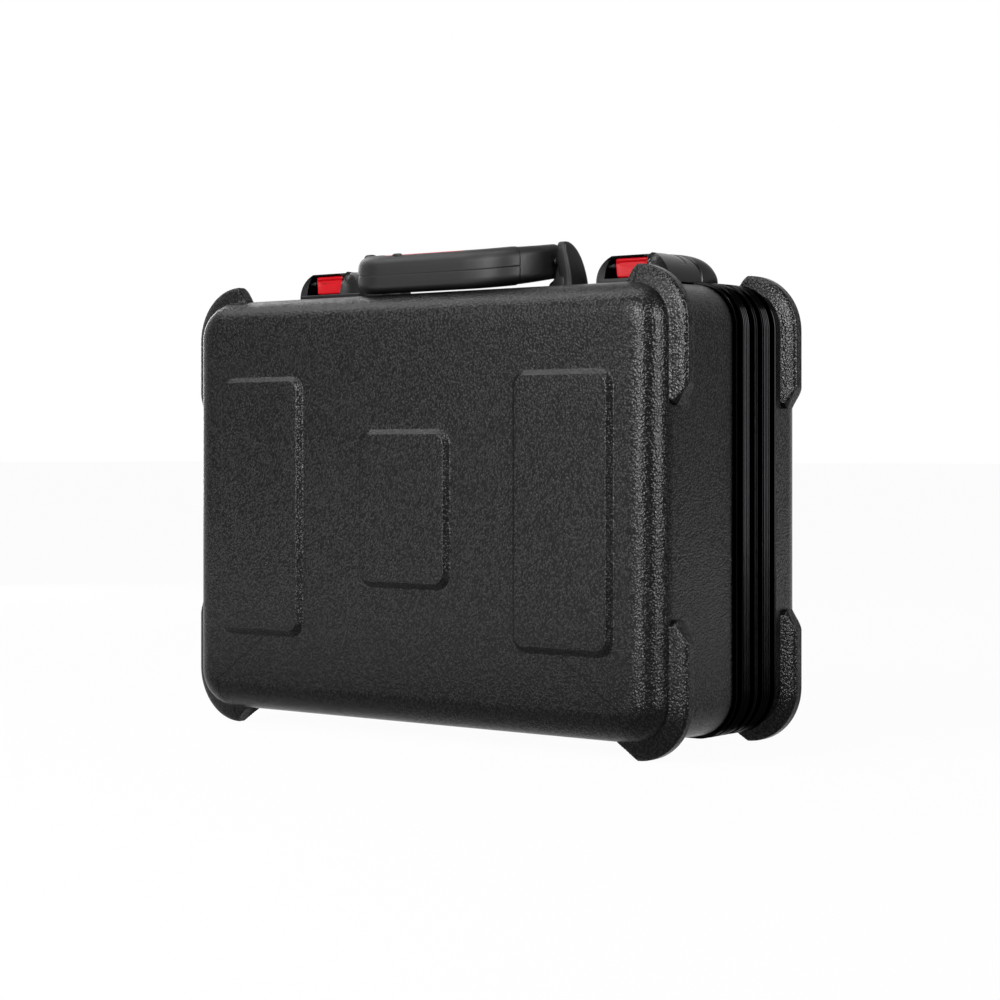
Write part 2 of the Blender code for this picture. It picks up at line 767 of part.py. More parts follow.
def keeper(name, centre):
    """The rear dome on the lid, open to the front, with a lip under its roof."""
    body = dome(name, centre, KEEPER_ROWS, 178.8)
    inside = [(133.0, 35.0, 25.5, 2.4)] + list(KEEPER_ROWS[1:4]) + [(153.0, 35.0, 19.3, 3.7)]
    mouth = hollow("Mouth", centre, inside, -26.0, 26.0, (130.0, 160.0))
    cut(mouth, box("Lip", (centre - 8.0, 135.0, 189.4), (centre + 8.0, 137.4, 206.0)))
    cut(body, mouth)
    return cut(body, *screw_holes(keeper_spots(centre), 183.4))


def screws(label, spots, low, top):
    """Screws with their heads inside the case."""
    profile = ((low, 2.4), (low + 0.4, 3.0), (low + 2.0, 3.0), (low + 2.0, SCREW_R), (top, SCREW_R))
    return [turned(f"{label}_{n}", 2, s, profile, 10) for n, s in enumerate(spots, 1)]


# Foam

def foam_ring(y, offset, shift):
    """A foam's outline at one depth, a little clear of the skin round it."""
    return ring(y + shift, offset - 0.4, marks=False)


def base_foam():
    """The base's padding, with a pocket for the module and room for the fixings above."""
    depths = [WALL + y for y in round_depths(FRONT_R - WALL, DRAFT_BASE_END - WALL)]
    depths.append(BASE_FOAM_END)
    body = loft("base_foam", [foam_ring(y, base_offset(y, WALL), 0.4) for y in depths])
    cut(body, box("Above", (-260.0, -5.0, FOAM_TOP), (260.0, 140.0, 200.0)))
    low = (-POCKET_W / 2, POCKET_FRONT, -POCKET_H / 2)
    return cut(body, box("Pocket", low, (POCKET_W / 2, BASE_FOAM_END + 5, POCKET_H / 2)))


def lid_foam():
    """The lid's padding."""
    depths = [DEPTH - WALL - y for y in round_depths(BACK_R - WALL, 45.0)]
    depths.append(LID_FOAM_START)
    return loft("lid_foam", [foam_ring(y, lid_offset(y, WALL), -0.4) for y in depths])


def build():
    """Makes every piece, gives it its material and sets its pivot."""
    plastic = material("moulded_plastic", (0.022, 0.022, 0.023), 0.55)
    anodised = material("black_rail", (0.030, 0.030, 0.032), 0.42, 1.0)
    steel = material("plated_steel", (0.42, 0.42, 0.43), 0.35, 1.0)
    nylon = material("latch_nylon", (0.025, 0.025, 0.026), 0.48)
    dark = material("handle_plastic", (0.020, 0.020, 0.021), 0.60)
    rubber = material("grip_rubber", (0.030, 0.030, 0.031), 0.52)
    red = material("trigger_red", (0.62, 0.018, 0.030), 0.25)
    line = material("inlay_red", (0.50, 0.015, 0.022), 0.40)
    foam = material("foam", (0.035, 0.035, 0.037), 0.95)

    hinge_line = (0.0, PARTING, HINGE_Z)
    base = base_shell()
    lid = lid_shell()
    base_rail = rail("base_valance", False)
    lid_rail = rail("lid_valance", True)
    base_made = [(base_foam(), foam)]
    lid_made = [(lid_foam(), foam)]

    for side, centre in (("left", -HINGE_X), ("right", HINGE_X)):
        cut(base, *rivet_holes(centre, False))
        cut(base_rail, *rivet_holes(centre, False))
        cut(lid, *rivet_holes(centre, True))
        cut(lid_rail, *rivet_holes(centre, True))
        base_made.append((leaf(f"hinge_{side}_base_leaf", centre, False), steel))
        lid_made.append((leaf(f"hinge_{side}_lid_leaf", centre, True), steel))
        base_made.append((hinge_pin(side, centre), steel))
        base_made += [(r, steel) for r in rivets(side, centre, False)]
        lid_made += [(r, steel) for r in rivets(side, centre, True)]

    pivot = (0.0, PIVOT_Y, PIVOT_Z)
    for made, mat in ((handle_core(), dark), (handle_grip(), rubber), (handle_inlay(), line)):
        hang(paint(made, mat), pivot)
    for label, side in (("left", -1), ("right", 1)):
        cut(base, *bolt_holes(side, 180.0))
        base_made.append((bracket(f"handle_bracket_{label}", side), dark))
        base_made.append((handle_pin(f"handle_pin_{label}", side), steel))
        base_made.append((backing_plate(f"handle_plate_{label}", side), steel))
        base_made += [(b, steel) for b in bolts(label, side)]

    for label, centre in (("left", -LATCH_X), ("right", LATCH_X)):
        name = f"latch_{label}"
        cut(base, *screw_holes(screw_spots(centre), 180.0))
        cut(lid, *screw_holes(keeper_spots(centre), 182.0))
        cut(lid_rail, *screw_holes(keeper_spots(centre), 182.0))
        trigger_at = (centre, TRIGGER_Y, TRIGGER_Z)
        hook_at = (centre, HOOK_Y, HOOK_Z)
        hang(paint(trigger(f"{name}_trigger", centre), red), trigger_at)
        hang(paint(hook(f"{name}_hook", centre), steel), hook_at)
        base_made.append((housing(f"{name}_housing", centre), nylon))
        base_made.append((cross_pin(f"{name}_trigger_pin", centre, trigger_at[1:]), steel))
        base_made.append((cross_pin(f"{name}_hook_pin", centre, hook_at[1:]), steel))
        base_made.append((spring(f"{name}_spring", centre), steel))
        base_made += [(s, steel) for s in screws(f"{name}_screw", screw_spots(centre), 168.9, 185.5)]
        lid_made.append((keeper(f"{name}_keeper", centre), nylon))
        lid_made += [(s, steel) for s in screws(f"{name}_keeper_screw", keeper_spots(centre), 169.0, 183.0)]

    base_made += [(base, plastic), (base_rail, anodised)]
    lid_made += [(lid, plastic), (lid_rail, anodised)]
    for obj, mat in base_made:
        paint(obj, mat)
    for obj, mat in lid_made:
        hang(paint(obj, mat), hinge_line)


clear_scene()
build()
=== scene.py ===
"""Dresses the drum electronics case: smooth moulded shells, ribbed rails, the bow-shaped handle,
the trigger latches and the cut foam, with procedural finishes, a camera, lights and a pale floor.

Sizes are in design millimetres, as in the CAD: x runs to the right, y runs back from the front
plane and z runs up from the middle of the shell. `world` turns them into metres in the row frame.
"""
from __future__ import annotations

import json
import logging
import math
from collections.abc import Callable, Sequence
from dataclasses import dataclass, field
from enum import Enum

import bpy
import numpy as np
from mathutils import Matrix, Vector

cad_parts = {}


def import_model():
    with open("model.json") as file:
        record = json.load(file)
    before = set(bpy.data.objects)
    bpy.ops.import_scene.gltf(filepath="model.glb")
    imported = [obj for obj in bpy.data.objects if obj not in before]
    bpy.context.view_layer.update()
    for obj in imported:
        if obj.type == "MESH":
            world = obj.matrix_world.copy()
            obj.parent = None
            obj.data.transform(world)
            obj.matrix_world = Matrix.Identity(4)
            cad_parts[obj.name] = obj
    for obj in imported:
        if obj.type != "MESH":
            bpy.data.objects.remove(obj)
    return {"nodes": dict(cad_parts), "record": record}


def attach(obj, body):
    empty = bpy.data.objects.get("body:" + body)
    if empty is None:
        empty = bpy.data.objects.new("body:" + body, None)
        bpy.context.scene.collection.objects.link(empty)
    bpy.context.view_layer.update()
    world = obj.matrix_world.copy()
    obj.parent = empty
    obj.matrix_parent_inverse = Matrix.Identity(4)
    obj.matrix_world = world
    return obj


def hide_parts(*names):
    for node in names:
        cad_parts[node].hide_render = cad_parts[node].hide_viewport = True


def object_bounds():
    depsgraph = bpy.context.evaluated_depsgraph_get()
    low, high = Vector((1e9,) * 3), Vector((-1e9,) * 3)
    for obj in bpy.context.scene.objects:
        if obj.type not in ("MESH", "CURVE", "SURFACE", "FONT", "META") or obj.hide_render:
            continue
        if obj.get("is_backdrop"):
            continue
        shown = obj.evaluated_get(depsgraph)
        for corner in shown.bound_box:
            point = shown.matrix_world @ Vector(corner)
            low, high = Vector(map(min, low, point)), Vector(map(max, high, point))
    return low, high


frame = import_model()

LOG = logging.getLogger("case")
ORIGIN = np.array([0.0, -107.5, 187.0])
CASE_DEPTH = 215.0


class Side(Enum):
    """The left or the right of the case, as the sign of x."""

    LEFT = -1
    RIGHT = 1

    @property
    def label(self) -> str:
        """The word used in node names."""
        return self.name.lower()


class Half(Enum):
    """The two shells of the case."""

    BASE = "base"
    LID = "lid"


def world(points: np.ndarray) -> np.ndarray:
    """Turns design millimetres into metres in the row frame."""
    return (np.asarray(points, dtype=float) + ORIGIN) * 0.001


def ease(value: np.ndarray, low: float, high: float) -> np.ndarray:
    """A smooth step from 0 at low to 1 at high: 3t^2 - 2t^3 of the clipped share t."""
    t = np.clip((np.asarray(value, dtype=float) - low) / (high - low), 0.0, 1.0)
    return t * t * (3.0 - 2.0 * t)


# Surfaces


@dataclass(frozen=True)
class Skin:
    """A surface on a grid of points, rows by columns.

    Attributes:
        points: The grid, shaped (rows, columns, 3), in design millimetres.
        wrap_rows: Whether the last row joins the first.
        wrap_cols: Whether the last column joins the first.
        caps: Whether the first and the last row are each closed by one flat face.
        side_caps: Whether the first and the last column are each closed by one flat face.
    """

    points: np.ndarray
    wrap_rows: bool = False
    wrap_cols: bool = True
    caps: bool = True
    side_caps: bool = False

    def quads(self) -> np.ndarray:
        """The grid's faces.

        Returns:
            Four point indices for each face, shaped (faces, 4).
        """
        rows, cols = self.points.shape[:2]
        i = np.arange(rows if self.wrap_rows else rows - 1)[:, None]
        j = np.arange(cols if self.wrap_cols else cols - 1)[None, :]
        down, over = (i + 1) % rows, (j + 1) % cols
        corners = (i * cols + j, i * cols + over, down * cols + over, down * cols + j)
        return np.stack([np.broadcast_to(c, (i.size, j.size)).ravel() for c in corners], axis=1)

    def covers(self) -> list[np.ndarray]:
        """The closing faces, turned as the quads are.

        Returns:
            Each face's point indices.
        """
        rows, cols = self.points.shape[:2]
        made: list[np.ndarray] = []
        if self.caps:
            made += [np.arange(cols)[::-1], (rows - 1) * cols + np.arange(cols)]
        if self.side_caps:
            made += [np.arange(rows) * cols, (np.arange(rows) * cols + cols - 1)[::-1]]
        return made

    def turned_out(self) -> tuple[np.ndarray, list[np.ndarray]]:
        """The faces with their order chosen so that the enclosed volume is positive.

        Returns:
            The quads and the closing faces.
        """
        quads, covers = self.quads(), self.covers()
        flat = self.points.reshape(-1, 3)
        flat = flat - flat.mean(axis=0)
        corners = [quads[:, [0, 1, 2]], quads[:, [0, 2, 3]]]
        corners += [np.stack([np.full(c.size - 2, c[0]), c[1:-1], c[2:]], axis=1) for c in covers]
        a, b, c = (flat[np.concatenate(corners)[:, k]] for k in range(3))
        if np.einsum("ij,ij->", a, np.cross(b, c)) < 0.0:
            quads, covers = quads[:, ::-1], [cover[::-1] for cover in covers]
        return quads, covers


def linked(name: str, data: bpy.types.ID) -> bpy.types.Object:
    """Makes an object of the data and links it to the scene."""
    obj = bpy.data.objects.new(name, data)
    bpy.context.scene.collection.objects.link(obj)
    return obj


def mesh_of(name: str, skins: Sequence[Skin]) -> bpy.types.Mesh:
    """Puts whole arrays of points and faces into one mesh.

    Args:
        name: The mesh's name.
        skins: The surfaces that make it up.

    Returns:
        The new mesh, in metres.
    """
    points, loops, sizes = [], [], []
    start = 0
    for skin in skins:
        quads, covers = skin.turned_out()
        points.append(world(skin.points.reshape(-1, 3)))
        loops += [quads.ravel() + start] + [cover + start for cover in covers]
        sizes += [np.full(len(quads), 4)] + [np.array([cover.size]) for cover in covers]
        start += len(points[-1])
    corners, counts = np.concatenate(loops), np.concatenate(sizes)
    mesh = bpy.data.meshes.new(name)
    mesh.vertices.add(start)
    mesh.vertices.foreach_set("co", np.concatenate(points).astype(np.float32).ravel())
    mesh.loops.add(corners.size)
    mesh.loops.foreach_set("vertex_index", corners.astype(np.int32))
    mesh.polygons.add(counts.size)
    mesh.polygons.foreach_set("loop_start", np.concatenate([[0], np.cumsum(counts)[:-1]]).astype(np.int32))
    mesh.update(calc_edges=True)
    mesh.validate()
    return mesh


def add_piece(
    name: str, skins: Sequence[Skin], finish: Finish, body: str, nodes: Sequence[str], crisp: float = 32.0
) -> bpy.types.Object:
    """Makes one finished piece that stands for CAD nodes and rides on a body.

    Args:
        name: The piece's name.
        skins: Its surfaces.
        finish: Its finish, which also names the slot.
        body: The CAD body that it rides on.
        nodes: The CAD nodes that it replaces.
        crisp: The angle in degrees over which an edge shows as crisp.

    Returns:
        The piece's object.
    """
    mesh = mesh_of(name, skins)
    mesh.shade_smooth()
    mesh.set_sharp_from_angle(angle=math.radians(crisp))
    mesh.materials.append(finish.material())
    obj = linked(name, mesh)
    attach(obj, body)
    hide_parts(*nodes)
    LOG.info("%s on %s: %d faces", name, body, len(mesh.polygons))
    return obj


def corner_turns(steps: int) -> tuple[np.ndarray, np.ndarray, np.ndarray]:
    """The turns round a rectangle's four corners.

    Args:
        steps: Points at each corner.

    Returns:
        The angles in radians, and the signs of each point's corner along both axes.
    """
    angle = np.radians(np.concatenate([np.linspace(0.0, 90.0, steps) + 90.0 * k for k in range(4)]))
    quarter = np.repeat(np.arange(4), steps)
    return angle, np.where((quarter == 0) | (quarter == 3), 1.0, -1.0), np.where(quarter < 2, 1.0, -1.0)


def round_rect(half_a: float, half_b: float, radius: float, steps: int = 10, seam: float = 0.0) -> np.ndarray:
    """A rectangle with round corners: four quarter circles joined by straight lines.

    Args:
        half_a: Half the width along the first axis.
        half_b: Half the height along the second axis.
        radius: The corner radius.
        steps: Points along each quarter circle.
        seam: The depth of a fine groove half way up the first side.

    Returns:
        Points shaped (count, 2), anticlockwise from the first side's middle.
    """
    angle, sign_a, sign_b = corner_turns(steps)
    a = sign_a * (half_a - radius) + radius * np.cos(angle)
    b = sign_b * (half_b - radius) + radius * np.sin(angle)
    line = np.array([-1.2, -0.5, -0.25, 0.0, 0.25, 0.5, 1.2])
    dip = np.array([0.0, 0.0, 0.6, 1.0, 0.6, 0.0, 0.0]) * seam
    return np.concatenate([np.stack([half_a - dip, line], axis=1), np.stack([a, b], axis=1)])


def at_depths(flat: np.ndarray, depths: np.ndarray) -> np.ndarray:
    """Puts rings of x and z, shaped (rings, count, 2), at their depths in y."""
    return np.stack([flat[..., 0], np.broadcast_to(depths[:, None], flat.shape[:2]), flat[..., 1]], axis=-1)


def smoothed(points: Sequence[tuple[float, float]], rounds: int = 3) -> np.ndarray:
    """Cuts each corner of a closed outline at a quarter and three quarters of its edges.

    Args:
        points: The outline's corners.
        rounds: How many times over they are cut.

    Returns:
        Points shaped (count, 2).
    """
    line = np.asarray(points, dtype=float)
    for _ in range(rounds):
        ahead = np.roll(line, -1, axis=0)
        line = np.stack([0.75 * line + 0.25 * ahead, 0.25 * line + 0.75 * ahead], axis=1).reshape(-1, 2)
    return line


def drawn_in(outline: np.ndarray, amount: np.ndarray) -> np.ndarray:
    """Moves a closed outline inward along its normals.

    Args:
        outline: Points shaped (count, 2).
        amount: How far each row is drawn in, shaped (rows,).

    Returns:
        Points shaped (rows, count, 2).
    """
    along = np.roll(outline, -1, axis=0) - np.roll(outline, 1, axis=0)
    normal = np.stack([along[:, 1], -along[:, 0]], axis=1)
    normal /= np.linalg.norm(normal, axis=1, keepdims=True) + 1e-9
    x, y = outline[:, 0], outline[:, 1]
    area = np.sum(x * np.roll(y, -1) - y * np.roll(x, -1))
    normal *= np.sign(area)
    return outline[None] - amount[:, None, None] * normal[None]


def edge_round(span: float, first: float, last: float, steps: int = 6) -> tuple[np.ndarray, np.ndarray]:
    """Levels across a plate with quarter-round edges, and how far each level is drawn in.

    Args:
        span: The plate's thickness.
        first: The radius at the low edge.
        last: The radius at the high edge.
        steps: Levels along each quarter circle.

    Returns:
        The levels from 0 to span, and the amounts drawn in.
    """
    turn = np.linspace(0.0, math.pi / 2, steps)
    low, low_in = first * (1.0 - np.cos(turn)), first * (1.0 - np.sin(turn))
    high, high_in = span - last * (1.0 - np.cos(turn[::-1])), last * (1.0 - np.sin(turn[::-1]))
    return np.concatenate([low, high]), np.concatenate([low_in, high_in])


def plate(outline: np.ndarray, axis: int, start: float, stop: float, first: float, last: float) -> Skin:
    """An outline drawn along an axis with rounded edges at both ends.

    Args:
        outline: Points in the other two coordinates, shaped (count, 2).
        axis: The axis that it is drawn along.
        start: The level of the first end.
        stop: The level of the last end.
        first: The edge radius at the first end.
        last: The edge radius at the last end.

    Returns:
        The closed skin.
    """
    levels, amount = edge_round(abs(stop - start), first, last)
    flat = drawn_in(outline, amount)
    points = np.zeros((*flat.shape[:2], 3))
    rest = [k for k in range(3) if k != axis]
    points[..., rest] = flat
    points[..., axis] = (start + math.copysign(1.0, stop - start) * levels)[:, None]
    return Skin(points)


# Finishes


class Graph:
    """A short way to add and join shader nodes in one tree."""

    def __init__(self, tree: bpy.types.NodeTree) -> None:
        """Keeps the tree that nodes are added to."""
        self.tree = tree

    def add(self, kind: str, settings: dict[str, object] | None = None, **inputs: object) -> bpy.types.Node:
        """Adds one node.

        Args:
            kind: The node's type name without the ShaderNode prefix.
            settings: The node's own properties.
            inputs: Values or output sockets for inputs, with _ for a space in the name.

        Returns:
            The node.
        """
        node = self.tree.nodes.new("ShaderNode" + kind)
        for key, value in (settings or {}).items():
            setattr(node, key, value)
        for key, value in inputs.items():
            socket = node.inputs[int(key[1:])] if key[1:].isdigit() else node.inputs[key.replace("_", " ")]
            if isinstance(value, bpy.types.NodeSocket):
                self.tree.links.new(value, socket)
            else:
                socket.default_value = value
        return node

    def math(self, operation: str, *values: object, clamp: bool = False) -> bpy.types.NodeSocket:
        """Adds a math node over the values and gives its output."""
        inputs = {f"_{k}": value for k, value in enumerate(values)}
        return self.add("Math", {"operation": operation, "use_clamp": clamp}, **inputs).outputs[0]

    def seen(self, *rays: str) -> bpy.types.NodeSocket:
        """A value that is 1 for rays of some kinds and 0 for all others.

        Args:
            rays: The light path outputs that count beside camera rays and glossy rays.

        Returns:
            The value's socket.
        """
        path = self.add("LightPath").outputs
        total = self.math("MAXIMUM", path["Is Camera Ray"], path["Is Glossy Ray"])
        for ray in rays:
            total = self.math("MAXIMUM", total, path[ray])
        return total


def new_group(name: str, inputs: dict[str, float], outputs: Sequence[str]) -> tuple[Graph, dict, dict]:
    """Starts a node group with float inputs and outputs.

    Args:
        name: The group's name.
        inputs: Input names and their defaults.
        outputs: Output names.

    Returns:
        The group's graph, its input sockets by name, and its output sockets by name.
    """
    tree = bpy.data.node_groups.new(name, "ShaderNodeTree")
    for key, value in inputs.items():
        tree.interface.new_socket(key, in_out="INPUT", socket_type="NodeSocketFloat").default_value = value
    for key in outputs:
        tree.interface.new_socket(key, in_out="OUTPUT", socket_type="NodeSocketFloat")
    start, end = tree.nodes.new("NodeGroupInput"), tree.nodes.new("NodeGroupOutput")
    return Graph(tree), dict(start.outputs.items()), dict(end.inputs.items())


def haircell_group() -> bpy.types.NodeTree:
    """The pebbled grain of moulded plastic: rounded cells broken up by finer noise, and a slow patchiness.

    Returns:
        The group, which gives the grain's height and the patchiness.
    """
    graph, given, out = new_group("Haircell grain", {"Scale": 560.0, "Fine": 0.12}, ["Height", "Patch"])
    place = graph.add("TexCoord").outputs["Object"]
    shift = graph.add("TexNoise", Vector=place, Scale=given["Scale"], Detail=1.0)
    moved = graph.add("VectorMath", {"operation": "MULTIPLY_ADD"}, _0=shift.outputs["Color"],
                      _1=(0.0012, 0.0012, 0.0012), _2=place)
    cells = graph.add("TexVoronoi", {"feature": "SMOOTH_F1"}, Vector=moved.outputs[0], Scale=given["Scale"],
                      Smoothness=0.6)
    step = graph.add("MapRange", Value=cells.outputs["Distance"], From_Min=0.0, From_Max=0.75, To_Min=1.0, To_Max=0.0)
    grit = graph.add("TexNoise", Vector=place, Scale=graph.math("MULTIPLY", given["Scale"], 3.1), Detail=1.0)
    total = graph.math("ADD", step.outputs[0], graph.math("MULTIPLY", grit.outputs[0], given["Fine"]))
    slow = graph.add("TexNoise", Vector=place, Scale=9.0, Detail=4.0)
    graph.tree.links.new(total, out["Height"])
    graph.tree.links.new(slow.outputs[0], out["Patch"])
    return graph.tree


def wear_group() -> bpy.types.NodeTree:
    """Faint handling marks: short scuffs along two directions.

    Returns:
        The group, which gives a mask from 0 to 1.
    """
    graph, given, out = new_group("Handling marks", {"Scale": 60.0, "Amount": 0.5}, ["Mask"])
    place = graph.add("TexCoord").outputs["Object"]
    masks = []
    for turn, stretch in ((0.4, (1.0, 9.0, 3.0)), (-0.9, (7.0, 1.0, 4.0))):
        moved = graph.add("Mapping", Vector=place, Rotation=(turn, turn * 0.5, turn), Scale=stretch)
        noise = graph.add("TexNoise", Vector=moved.outputs[0], Scale=given["Scale"], Detail=3.0, Distortion=0.6)
        masks.append(graph.add("MapRange", Value=noise.outputs[0], From_Min=0.62, From_Max=0.78).outputs[0])
    scaled = graph.math("MULTIPLY", graph.math("MAXIMUM", *masks), given["Amount"], clamp=True)
    graph.tree.links.new(scaled, out["Mask"])
    return graph.tree


_GROUPS: dict[str, bpy.types.NodeTree] = {}


def shared(name: str, maker: Callable[[], bpy.types.NodeTree]) -> bpy.types.NodeTree:
    """Builds a node group the first time that it is asked for."""
    if name not in _GROUPS:
        _GROUPS[name] = maker()
    return _GROUPS[name]


@dataclass(frozen=True)
class Finish:
    """One finish of the case and the slot that it stands for.

    Attributes:
        slot: The record's material slot.
        color: The base colour, linear.
        paler: The colour of scuffs.
        rough: The roughness of clean areas.
        rough_swing: How much the roughness varies over the surface.
        grain: The grain's cells per metre.
        depth: The grain's depth in metres.
        specular: The specular level.
        metal: The metallic share.
        marks: How strong handling marks are.
        sheen: The weight of a soft fibre sheen.
        edge_tint: How bright a metal is at a glancing angle.
        cavity: The share by which the gloss falls in the grain's valleys and rises on its tops.
    """

    slot: str
    color: tuple[float, float, float]
    paler: tuple[float, float, float]
    rough: float = 0.5
    rough_swing: float = 0.08
    grain: float = 560.0
    depth: float = 0.0
    specular: float = 0.5
    metal: float = 0.0
    marks: float = 0.3
    sheen: float = 0.0
    edge_tint: float = 1.0
    cavity: float = 0.0

    def material(self) -> bpy.types.Material:
        """The finish's material, built once.

        Returns:
            The material, named after the slot.
        """
        name = "finish_" + self.slot
        if name in bpy.data.materials:
            return bpy.data.materials[name]
        mat = bpy.data.materials.new(name)
        mat.use_nodes = True
        mat.diffuse_color = (*self.color, 1.0)
        graph = Graph(mat.node_tree)
        shader = mat.node_tree.nodes["Principled BSDF"]
        grain = graph.add("Group", {"node_tree": shared("grain", haircell_group)}, Scale=self.grain)
        marks = graph.add("Group", {"node_tree": shared("marks", wear_group)}, Amount=self.marks)
        tint = graph.add("Mix", {"data_type": "RGBA"}, _0=marks.outputs[0])
        tint.inputs[6].default_value = (*self.color, 1.0)
        tint.inputs[7].default_value = (*self.paler, 1.0)
        rough = graph.add("MapRange", Value=grain.outputs["Patch"], From_Min=0.3, From_Max=0.7,
                          To_Min=self.rough - self.rough_swing, To_Max=self.rough + self.rough_swing)
        worn = graph.math("MULTIPLY_ADD", marks.outputs[0], 0.12, rough.outputs[0], clamp=True)
        links = mat.node_tree.links
        links.new(tint.outputs[2], shader.inputs["Base Color"])
        links.new(worn, shader.inputs["Roughness"])
        if self.depth:
            bump = graph.add("Bump", Height=grain.outputs["Height"], Strength=1.0, Distance=self.depth)
            links.new(bump.outputs[0], shader.inputs["Normal"])
        tint_of_gloss = (self.edge_tint, self.edge_tint, self.edge_tint, 1.0)
        for key, value in (("Metallic", self.metal), ("Specular IOR Level", self.specular),
                           ("Sheen Weight", self.sheen), ("Specular Tint", tint_of_gloss)):
            shader.inputs[key].default_value = value
        if self.cavity:
            gloss = graph.add("MapRange", Value=grain.outputs["Height"], From_Min=0.3, From_Max=0.95,
                              To_Min=self.specular * (1.0 - self.cavity), To_Max=self.specular * (1.0 + self.cavity))
            links.new(gloss.outputs[0], shader.inputs["Specular IOR Level"])
        return mat


SHELL = Finish("moulded_plastic", (0.0030, 0.0030, 0.0032), (0.007, 0.007, 0.0073), 0.25, 0.04, 600.0, 0.00024, 0.125,
               cavity=0.5)
RAIL = Finish("black_rail", (0.0030, 0.0030, 0.0032), (0.006, 0.006, 0.0063), 0.16, 0.03, 2400.0, 0.000002, 0.5, 1.0,
              marks=0.4, edge_tint=0.3)
STEEL = Finish("plated_steel", (0.44, 0.44, 0.45), (0.56, 0.56, 0.57), 0.30, 0.07, 1500.0, 0.000012, 0.5, 1.0)
# Painted shade: a darkened copy of the plated steel, used for the steel inside the latches so that it reads as the
# shade of the bays behind the windows.
SHADE_DARK_STEEL = Finish("blackened_steel", (0.020, 0.020, 0.021), (0.060, 0.060, 0.062), 0.42, 0.07, 1500.0, 0.000012,
                   0.5, 1.0, edge_tint=0.4)
NYLON = Finish("latch_nylon", (0.0035, 0.0035, 0.0037), (0.008, 0.008, 0.0083), 0.27, 0.04, 2600.0, 0.000010, 0.12)
DARK = Finish("handle_plastic", (0.004, 0.004, 0.0042), (0.009, 0.009, 0.0093), 0.44, 0.05, 1900.0, 0.000030, 0.12)
RUBBER = Finish("grip_rubber", (0.004, 0.004, 0.0042), (0.009, 0.009, 0.0093), 0.42, 0.05, 1300.0, 0.000040, 0.11)
RED = Finish("trigger_red", (0.52, 0.004, 0.010), (0.56, 0.010, 0.018), 0.32, 0.03, 2000.0, 0.000002, 0.08)
INLAY = Finish("inlay_red", (0.58, 0.016, 0.026), (0.66, 0.05, 0.06), 0.40, 0.05, 1800.0, 0.000010)
FOAM = Finish("foam", (0.028, 0.028, 0.030), (0.045, 0.045, 0.048), 0.95, 0.03, 900.0, 0.00035, 0.2, marks=0.5,
              sheen=0.15)


# Shells


@dataclass(frozen=True)
class Outline:
    """The shell's round-cornered outline and where its corner bumpers stand.

    Attributes:
        half_w: Half the width at the front.
        half_h: Half the height at the front.
        corner: The corner radius.
        side_end: The height on the sides at which a bumper ends.
        side_full: The height on the sides from which it has its full depth.
        top_end: The same end along the top and the bottom.
        top_full: The same full depth along the top and the bottom.
    """

    half_w: float = 240.7
    half_h: float = 173.2
    corner: float = 32.0
    side_end: float = 80.0
    side_full: float = 96.0
    top_end: float = 198.5
    top_full: float = 208.7

    def rows(self) -> tuple[np.ndarray, np.ndarray, np.ndarray]:
        """Points round the outline: straight sides, quarter circles, and close columns at the bumpers' ends.

        Returns:
            The points (count, 2), the outward normals (count, 2) and how far each point lies inside its
            bumper's end as a share of the ramp (count,), below 0 outside it and above 1 past the ramp.
        """
        cx, cz = self.half_w - self.corner, self.half_h - self.corner
        near = np.array([-0.9, -0.5, -0.2, -0.01])
        share = np.concatenate([near, np.linspace(0.0, 1.0, 17), [1.06, 1.2]])
        side_run, top_run = self.side_full - self.side_end, self.top_full - self.top_end
        heights = np.concatenate([[12.0, 45.0], self.side_end + side_run * share, [108.0, 124.0]])
        turn = np.linspace(0.0, math.pi / 2, 21)
        share_top = np.concatenate([[1.06], np.linspace(1.0, 0.0, 11), near[::-1]])
        widths = np.concatenate([self.top_end + top_run * share_top, [180.0, 140.0, 95.0, 50.0, 12.0]])
        side_in, top_in = (heights - self.side_end) / side_run, (widths - self.top_end) / top_run
        side = np.stack([np.full_like(heights, self.half_w), heights, np.ones_like(heights), heights * 0, side_in])
        arc = np.stack([cx + self.corner * np.cos(turn), cz + self.corner * np.sin(turn), np.cos(turn), np.sin(turn),
                        np.full_like(turn, 9.0)])
        top = np.stack([widths, np.full_like(widths, self.half_h), widths * 0, np.ones_like(widths), top_in])
        quarter = np.concatenate([side, arc, top], axis=1).T
        flip_x, flip_z = np.array([-1, 1, -1, 1, 1]), np.array([1, -1, 1, -1, 1])
        around = np.concatenate([quarter, quarter[::-1] * flip_x, quarter * flip_x * flip_z, quarter[::-1] * flip_z])
        return around[:, :2], around[:, 2:4], around[:, 4]

    def rings(self, depths: np.ndarray, offsets: np.ndarray) -> np.ndarray:
        """Rings at depths: each point moved out by the ring's offset.

        Args:
            depths: The rings' y.
            offsets: How far each ring stands out from the outline.

        Returns:
            Points shaped (rings, count, 3).
        """
        base, normal, _ = self.rows()
        return at_depths(base[None] + normal[None] * offsets[:, None, None], depths)


